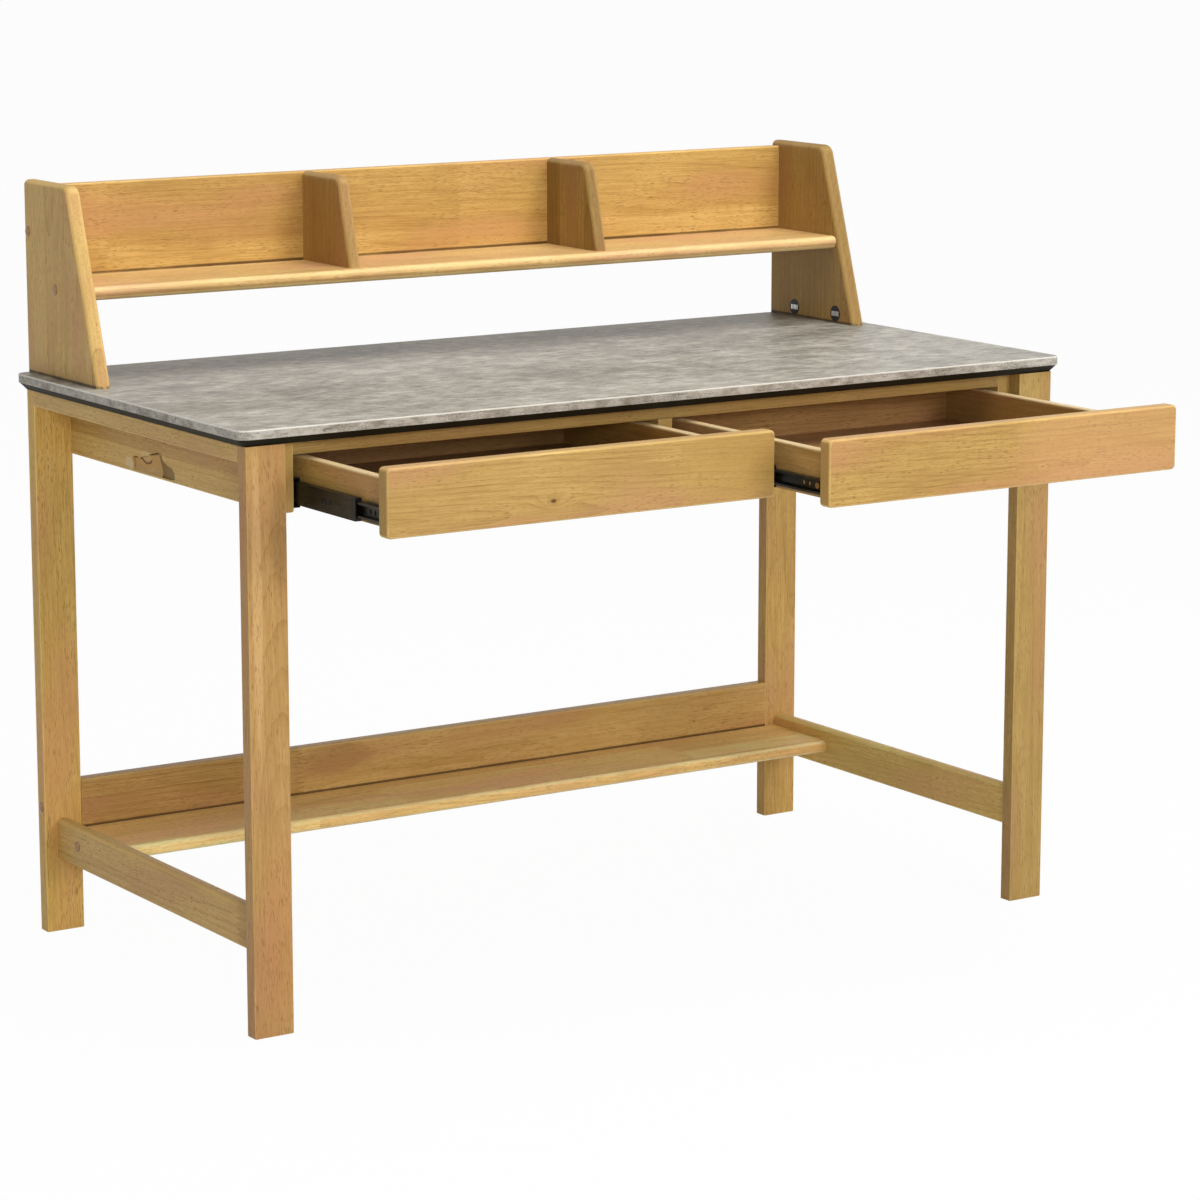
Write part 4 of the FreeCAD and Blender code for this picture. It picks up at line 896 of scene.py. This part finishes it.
class DESK_OT_bookshelf(bpy.types.Operator):
    """Give the bookshelf's boards their wood"""

    bl_idname = "desk.bookshelf"
    bl_label = "Bookshelf"

    def execute(self, context):
        for node, seed, cast_and_painted_light, offset in (
            ("hutch_left_panel", 16, HONEY, 20), ("hutch_right_panel", 17, HUTCH_INNER_PAINTED_SHADE, 35),
        ):
            low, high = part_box(node)
            # Painted shade along the foot of each panel, where it stands on the desk top
            foot_shade = tuple(
                ((face * PER_METRE, 352, low[2] * PER_METRE), 4, 900, (46, 40, 32), 0.9)
                for face in (low[0], high[0])
            )
            wood(node, "z", seed, cast_and_painted_light, lanes=(62, offset, 400, 600), marks=foot_shade)
        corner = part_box("hutch_shelf")[0]
        # Painted shade along the shelf's lower front edge
        lip_shade = ((0, corner[1] * PER_METRE, corner[2] * PER_METRE), EDGE_RUN, 8, (126, 92, 48), 0.55)
        wood("hutch_shelf", "x", 18, HUTCH_SHELF_PAINTED_LIGHT, lanes=(52, 10, 480, None), marks=(lip_shade,))
        wood(
            "hutch_back_board", "x", 19, WARM, lanes=(86, 25.7, 520, 473), wave=1.2,
            # Painted shade where the shelf meets the back board
            marks=(((0, 432, 840), BOARD_RUN, 3.2, CREASE_SHADE, 0.85),),
        )
        wood("hutch_left_divider", "z", 20, DIVIDER_PAINTED_SHADE, lanes=(60, 14, 400, 600))
        wood("hutch_right_divider", "z", 21, HUTCH_INNER_PAINTED_SHADE, lanes=(60, 30, 400, 600))
        return {"FINISHED"}


class DESK_OT_top(bpy.types.Operator):
    """Give the desk top its laminate and black bevel"""

    bl_idname = "desk.top_board"
    bl_label = "Desk top"

    def execute(self, context):
        dress("desk_top_laminate", laminate_finish())
        dress("desk_top_core", black_board_finish())
        return {"FINISHED"}


class DESK_OT_drawers(bpy.types.Operator):
    """Give both drawers their wood and their brown bottoms"""

    bl_idname = "desk.drawers"
    bl_label = "Drawers"

    def execute(self, context):
        bottom = brown_board_finish()
        wood(
            "left_drawer_front", "x", 30, OAT, wave=1.2, pith=(-30, 26, 0.03, 0.05),
            knots=(((-311, -350, 643), 3.2),), marks=(((-60, -350, 660), 90, 60, (178, 142, 76), 0.5),),
        )
        wood(
            "right_drawer_front", "x", 43, lanes=(95, 47, 1000, -20.5), wave=1.1,
            knots=(((318, -450, 641), 1.2),), marks=(((420, -450, 660), 150, 60, (212, 160, 112), 0.4),),
        )
        shade = ((-504, -279, 638), 42, 14, (26, 20, 12), 1.0)
        # The sides of each drawer take a tint that is painted shade
        for side, seed, outer_painted_shade, inner_painted_shade, shades in (
            ("left", 30, LEFT_OUTER_PAINTED_SHADE, LEFT_INNER_PAINTED_SHADE, (shade,)), ("right", 40, RIGHT_OUTER_PAINTED_SHADE, RIGHT_INNER_PAINTED_SHADE, ()),
        ):
            # The upper edges of both sides are painted pale, as painted light falling on their tops
            low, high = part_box(f"{side}_drawer_outer_side")
            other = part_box(f"{side}_drawer_inner_side")
            front, top = low[1] * PER_METRE, high[2] * PER_METRE
            outer_lit_rim, inner_lit_rim = (
                ((middle * PER_METRE, front, top), EDGE_RUN, 3.0, RIM_PAINTED_LIGHT, 0.75)
                for middle in ((low[0] + high[0]) / 2, (other[0][0] + other[1][0]) / 2)
            )
            wood(f"{side}_drawer_outer_side", "y", seed + 1, outer_painted_shade, marks=(*shades, outer_lit_rim))
            wood(f"{side}_drawer_inner_side", "y", seed + 2, inner_painted_shade, marks=(inner_lit_rim,))
            wood(f"{side}_drawer_back", "x", seed + 3, DRAWER_BACK_SHADE_AND_PINK)
            dress(f"{side}_drawer_bottom", bottom)
        return {"FINISHED"}


class DESK_OT_slides(bpy.types.Operator):
    """Finish the ball-bearing slides and lay their rows of balls"""

    bl_idname = "desk.slides"
    bl_label = "Drawer slides"

    def execute(self, context):
        steel = black_steel_finish()
        plastic = black_plastic_finish()
        zinc = zinc_finish()
        copper = copper_finish()
        for side in ("left", "right"):
            for place in ("outer", "inner"):
                name = f"{side}_drawer_{place}_slide"
                dress(f"{name}_case_member", steel)
                dress(f"{name}_drawer_member", steel)
                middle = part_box(f"{name}_middle_member")
                dress(f"{name}_middle_member", black_steel_finish(f"{name}_middle_steel", slots_in(middle)))
            dress(f"{side}_drawer_slide_bumpers", plastic)
            dress(f"{side}_drawer_slide_screws", copper)
            self.cut_crosses(f"{side}_drawer_slide_screws", f"{side}_drawer")
        dress("case_slide_screws", zinc)
        self.cut_crosses("case_slide_screws", "desk_frame")
        self.lay_balls(context, zinc)
        return {"FINISHED"}

    def cut_crosses(self, node, body):
        """A cross recess on each screw head, as two thin bars in painted shade laid on its face."""
        tree = Growth(f"{node}_crosses", {"Bar": "Vector", "Other bar": "Vector", "Material": "Material"})
        cross = tree.add("GeometryNodeJoinGeometry")
        for label in ("Bar", "Other bar"):
            bar = tree.add("GeometryNodeMeshCube", None, {"Size": tree.get(label)})
            tree.feed(cross.inputs[0], bar.outputs[0])
        tree.close(tree.spread(tree.get("Geometry"), cross.outputs[0]))
        tree.grow(f"{node}_crosses", [head_face(*lump) for lump in lumps(node)], {
            "Bar": (CROSS_THICKNESS, CROSS_REACH, CROSS_WIDTH),
            "Other bar": (CROSS_THICKNESS, CROSS_WIDTH, CROSS_REACH),
            "Material": recess_shade_finish(),
        }, body)

    def lay_balls(self, context, finish):
        """Rows of balls between the members, top and bottom."""
        sizes = context.scene.desk_metal
        tree = Growth("ball_rows", {
            "Count": "Int", "Spacing": "Vector", "Radius": "Float", "Material": "Material",
        })
        ball = tree.add("GeometryNodeMeshIcoSphere", None, {"Radius": tree.get("Radius"), "Subdivisions": 2})
        smooth = tree.add("GeometryNodeSetShadeSmooth", None, {"Geometry": ball.outputs[0]})
        tree.close(tree.spread(tree.rows(), smooth.outputs[0]))
        values = {
            "Count": sizes.balls_per_row, "Spacing": (0.0, sizes.ball_spacing, 0.0),
            "Radius": sizes.ball_radius, "Material": finish,
        }
        still = []
        for side in ("left", "right"):
            moving = []
            for place in ("outer", "inner"):
                name = f"{side}_drawer_{place}_slide"
                case, middle, drawer = (
                    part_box(f"{name}_{member}") for member in ("case_member", "middle_member", "drawer_member")
                )
                still += row_starts(case, middle)
                moving += row_starts(middle, drawer)
            tree.grow(f"{side}_slide_balls", moving, values, f"{side}_slide_middles")
        tree.grow("case_slide_balls", still, values, "desk_frame")


class DESK_OT_fasteners(bpy.types.Operator):
    """Finish the screws, bolts, covers, dowels and cam fittings"""

    bl_idname = "desk.fasteners"
    bl_label = "Fittings"

    def execute(self, context):
        zinc = zinc_finish()
        dowel = dowel_finish()
        for node in ("cam_pins", "bolts", "threaded_inserts", "top_screws"):
            dress(node, zinc)
        for node in ("dowels", "left_drawer_dowels", "right_drawer_dowels"):
            dress(node, dowel)
        dress("bolt_covers", bronze_finish())
        dress("cam_housings", black_plastic_finish())
        # The cams are painted dark as the shade between their ribs
        dress("cams", recess_shade_finish())
        self.rib_cams(context, zinc)
        return {"FINISHED"}

    def rib_cams(self, context, finish):
        """Upright ribs across the face of each cam, with the cam's painted shade in the gaps between them."""
        tree = Growth("cam_ribs", {
            "Count": "Int", "Spacing": "Vector", "Size": "Vector", "Material": "Material",
        })
        rib = tree.add("GeometryNodeMeshCube", None, {"Size": tree.get("Size")})
        tree.close(tree.spread(tree.rows(), rib.outputs[0]))
        count = context.scene.desk_metal.ribs_per_cam
        starts = []
        for _, low, high in lumps("cams"):
            pitch = (high.y - low.y) / count
            face = high.x if low.x < 0 else low.x
            starts.append((face, low.y + pitch / 2, (low.z + high.z) / 2))
        tree.grow("cam_ribs", starts, {
            "Count": count, "Spacing": (0.0, pitch, 0.0), "Material": finish,
            "Size": (RIB_THICKNESS, pitch * RIB_WIDTH, (high.z - low.z) * RIB_HEIGHT),
        }, "desk_frame")


class DESK_OT_hollow(bpy.types.Operator):
    """Line the natural hollow in the left case board with its carved-looking bottom"""

    bl_idname = "desk.hollow"
    bl_label = "Hollow"

    def execute(self, context):
        outline = [
            (HOLLOW_MIDDLE + HOLLOW_LENGTH * along, HOLLOW_LOW + HOLLOW_HEIGHT * up)
            for along, up in HOLLOW_SHARES
        ]
        shape = bmesh.new()
        marks = shape.verts.layers.float_color.new("marks")
        grid = {}
        for column in range(int(HOLLOW_LENGTH / HOLLOW_STEP) + 1):
            for row in range(int(HOLLOW_HEIGHT / HOLLOW_STEP) + 1):
                y, z = self.spot(column, row)
                deep, mark = hollow_form(y, z, outline)
                vert = shape.verts.new((-(HOLLOW_FACE - deep) * MM, y * MM, z * MM))
                vert[marks] = (*mark, 1.0)
                grid[column, row] = vert
        for column, row in grid:
            corners = ((column, row), (column, row + 1), (column + 1, row + 1), (column + 1, row))
            if corners[2] in grid and inside(*self.spot(column + 0.5, row + 0.5), outline):
                face = shape.faces.new([grid[corner] for corner in corners])
                face.smooth = True
        bmesh.ops.delete(shape, geom=[vert for vert in shape.verts if not vert.link_faces], context="VERTS")
        bmesh.ops.triangulate(shape, faces=shape.faces)
        for corner in bmesh.ops.extrude_face_region(shape, geom=shape.faces[:])["geom"]:
            if isinstance(corner, bmesh.types.BMVert):
                corner.co.x = -(HOLLOW_FACE - HOLLOW_BACK) * MM
        bmesh.ops.recalc_face_normals(shape, faces=shape.faces)
        mesh = bpy.data.meshes.new("hollow_lining")
        shape.to_mesh(mesh)
        shape.free()
        mesh.materials.append(hollow_finish())
        piece("hollow_lining", mesh, "desk_frame")
        return {"FINISHED"}

    def spot(self, column, row):
        """Place of a grid point, in millimetres of the desk."""
        return HOLLOW_MIDDLE - HOLLOW_LENGTH / 2 + column * HOLLOW_STEP, HOLLOW_LOW + row * HOLLOW_STEP


def sides(outline):
    """The sides of a closed outline as (y, z) of both ends."""
    return [(*first, *second) for first, second in zip(outline, outline[1:] + outline[:1])]


def inside(y, z, outline):
    """Whether a point lies within a closed outline."""
    crossed = 0
    for y0, z0, y1, z1 in sides(outline):
        if (z0 > z) != (z1 > z) and y < (y1 - y0) * (z - z0) / (z1 - z0) + y0:
            crossed += 1
    return crossed % 2 == 1


def roof_gap(y, z, outline):
    """Upright distance from a point to the flatter sides along the top of the outline."""
    gaps = [HOLLOW_HEIGHT]
    for y0, z0, y1, z1 in sides(outline):
        flat = abs(y0 - y1) > abs(z0 - z1) and max(z0, z1) > HOLLOW_LOW + HOLLOW_ROOF
        if flat and min(y0, y1) <= y <= max(y0, y1):
            gaps.append(abs(z1 + (z0 - z1) * (y - y1) / (y0 - y1) - z))
    return min(gaps)


def smooth(value, low, high):
    """0 up to low, 1 from high on, and smooth between."""
    share = min(1.0, max(0.0, (value - low) / (high - low)))
    return share * share * (3 - 2 * share)


def hollow_form(y, z, outline):
    """Depth of the hollow at a point, and how dark with painted shade, how warm and how scooped it looks there.
    """
    across = (y - HOLLOW_MIDDLE) / HOLLOW_LENGTH
    up = (z - HOLLOW_LOW) / HOLLOW_HEIGHT
    # The floor of the pocket, which runs out to the face along its lower edge
    deep = HOLLOW_DEPTH * smooth(up, -0.05, 0.22)
    # The scoop at the front, parted from the pocket by a slanting crest
    crest = across - CREST_PLACE + (CREST_HEIGHT - up) * CREST_LEAN
    scoop = smooth(-crest, -0.01, 0.01)
    bowl = 0.5 + 2.2 * smooth(-crest, 0.30, 0.0) * (0.75 + 0.25 * math.sin(y * 2.1 + z * 1.4))
    deep = deep * (1 - scoop) + bowl * scoop
    # The rounded lump that hangs from the upper edge, and the shadow under it
    lump = math.hypot((across - LUMP_PLACE[0]) / LUMP_REACH[0], (up - LUMP_PLACE[1]) / LUMP_REACH[1])
    rise = smooth(-lump, -1.0, -0.55)
    deep = deep * (1 - rise) + 0.25 * rise
    under = smooth(-abs(lump - 1.08), -0.3, 0.0) * smooth(0.75 - up, 0.0, 0.2) * smooth(across, 0.04, 0.1)
    # The shade under the roof, below the lump and along the crest
    roof = smooth(-roof_gap(y, z, outline), -4.0, -0.5) * (1 - rise)
    dark = max(roof * (1 - scoop), under * (1 - scoop) * 0.9, smooth(-abs(crest), -0.025, 0.0) * 0.75)
    warm = (1 - rise) * (1 - scoop) * smooth(up, 0.12, 0.3)
    return min(deep, HOLLOW_DEPTH), (dark, warm, scoop)


class DESK_OT_stage(bpy.types.Operator):
    """Set up the floor, the lights and the camera"""

    bl_idname = "desk.stage"
    bl_label = "Stage"

    def execute(self, context):
        scene = context.scene
        settings = scene.desk_stage
        self.lay_floor(scene, settings)
        for name, place, target, size, power in LIGHTS:
            self.hang_light(scene, name, place, target, size, getattr(settings, power))
        self.light_sky(scene, settings)
        self.place_camera(scene, settings)
        scene.view_settings.view_transform = "Standard"
        return {"FINISHED"}

    def blend(self, nodes, share, spread, seen):
        """One shader for light that spreads and another where the eye, a mirror or glass looks."""
        path = nodes.add("ShaderNodeLightPath")
        looks = Value(nodes, path.outputs["Is Camera Ray"])
        for name in ("Is Glossy Ray", "Is Transmission Ray"):
            looks = nodes.maths("MAXIMUM", looks, Value(nodes, path.outputs[name]))
        inputs = {0: looks * share, 1: spread.outputs[0], 2: seen.outputs[0]}
        return nodes.add("ShaderNodeMixShader", None, inputs).outputs[0]

    def lay_floor(self, scene, settings):
        """A wide pale floor that keeps a faint shadow of the desk."""
        mesh = bpy.data.meshes.new("floor")
        corners = [(x * FLOOR_REACH, y * FLOOR_REACH, 0.0) for x, y in ((-1, -1), (1, -1), (1, 1), (-1, 1))]
        mesh.from_pydata(corners, [], [(0, 1, 2, 3)])
        floor = bpy.data.objects.new("floor", mesh)
        scene.collection.objects.link(floor)
        finish, nodes = material("pale_floor")
        paint = nodes.add("ShaderNodeBsdfDiffuse", None, {"Color": FLOOR_PAINT})
        white = nodes.add("ShaderNodeEmission", None, {"Color": WHITE, "Strength": 1.0})
        mixed = self.blend(nodes, settings.floor_white, paint, white)
        nodes.add("ShaderNodeOutputMaterial", None, {"Surface": mixed})
        mesh.materials.append(finish)

    def hang_light(self, scene, name, place, target, size, power):
        """A square soft light turned to a point."""
        lamp = bpy.data.lights.new(name, "AREA")
        lamp.shape = "SQUARE"
        lamp.size = size
        lamp.energy = power
        holder = bpy.data.objects.new(name, lamp)
        holder.location = place
        holder.rotation_euler = (Vector(target) - Vector(place)).to_track_quat("-Z", "Y").to_euler()
        scene.collection.objects.link(holder)

    def light_sky(self, scene, settings):
        """White where it is seen, and a weak even fill for everything else."""
        scene.world = bpy.data.worlds.new("studio")
        scene.world.use_nodes = True
        nodes = Nodes(scene.world.node_tree)
        fill, white = (
            nodes.add("ShaderNodeBackground", None, {"Color": WHITE, "Strength": strength})
            for strength in (settings.sky, 1.0)
        )
        nodes.add("ShaderNodeOutputWorld", None, {"Surface": self.blend(nodes, 1.0, fill, white)})

    def place_camera(self, scene, settings):
        """A long lens from the front left, a little above the desk top."""
        eye = bpy.data.cameras.new("camera")
        eye.sensor_width = 36.0
        eye.lens = settings.lens
        eye.clip_end = 100.0
        holder = bpy.data.objects.new("camera", eye)
        holder.location = settings.place
        holder.rotation_euler = Euler((math.pi / 2 - settings.elevation, 0.0, settings.azimuth))
        scene.collection.objects.link(holder)
        scene.camera = holder


class DESK_PT_sidebar(bpy.types.Panel):
    """Lists the desk's pieces in the sidebar"""

    bl_idname = "DESK_PT_sidebar"
    bl_label = "Writing desk"
    bl_space_type = "VIEW_3D"
    bl_region_type = "UI"
    bl_category = "Desk"

    def draw(self, context):
        for operator in OPERATORS:
            self.layout.operator(operator.bl_idname)
        for name in SETTINGS:
            settings = getattr(context.scene, name)
            box = self.layout.box()
            for setting in settings.bl_rna.properties:
                if setting.identifier not in ("rna_type", "name"):
                    box.prop(settings, setting.identifier)


SETTINGS = {
    "desk_wood": DeskWoodSettings,
    "desk_top": DeskTopSettings,
    "desk_metal": DeskMetalSettings,
    "desk_stage": DeskStageSettings,
}
OPERATORS = (
    DESK_OT_frame, DESK_OT_foot_shelf, DESK_OT_bookshelf, DESK_OT_top, DESK_OT_drawers, DESK_OT_slides,
    DESK_OT_fasteners, DESK_OT_hollow, DESK_OT_stage,
)


def register():
    """Adds the settings, the operators and the sidebar."""
    for name, group in SETTINGS.items():
        bpy.utils.register_class(group)
        setattr(bpy.types.Scene, name, PointerProperty(type=group))
    for operator in OPERATORS:
        bpy.utils.register_class(operator)
    bpy.utils.register_class(DESK_PT_sidebar)


def unregister():
    """Takes them away again."""
    bpy.utils.unregister_class(DESK_PT_sidebar)
    for operator in reversed(OPERATORS):
        bpy.utils.unregister_class(operator)
    for name, group in SETTINGS.items():
        delattr(bpy.types.Scene, name)
        bpy.utils.unregister_class(group)


def dress_desk():
    """Runs the operators in order."""
    bpy.ops.desk.stage()
    bpy.ops.desk.frame_wood()
    bpy.ops.desk.foot_shelf()
    bpy.ops.desk.bookshelf()
    bpy.ops.desk.top_board()
    bpy.ops.desk.drawers()
    bpy.ops.desk.slides()
    bpy.ops.desk.fasteners()
    bpy.ops.desk.hollow()


def main():
    """Dresses the whole desk."""
    register()
    dress_desk()


if __name__ == "__main__":
    main()
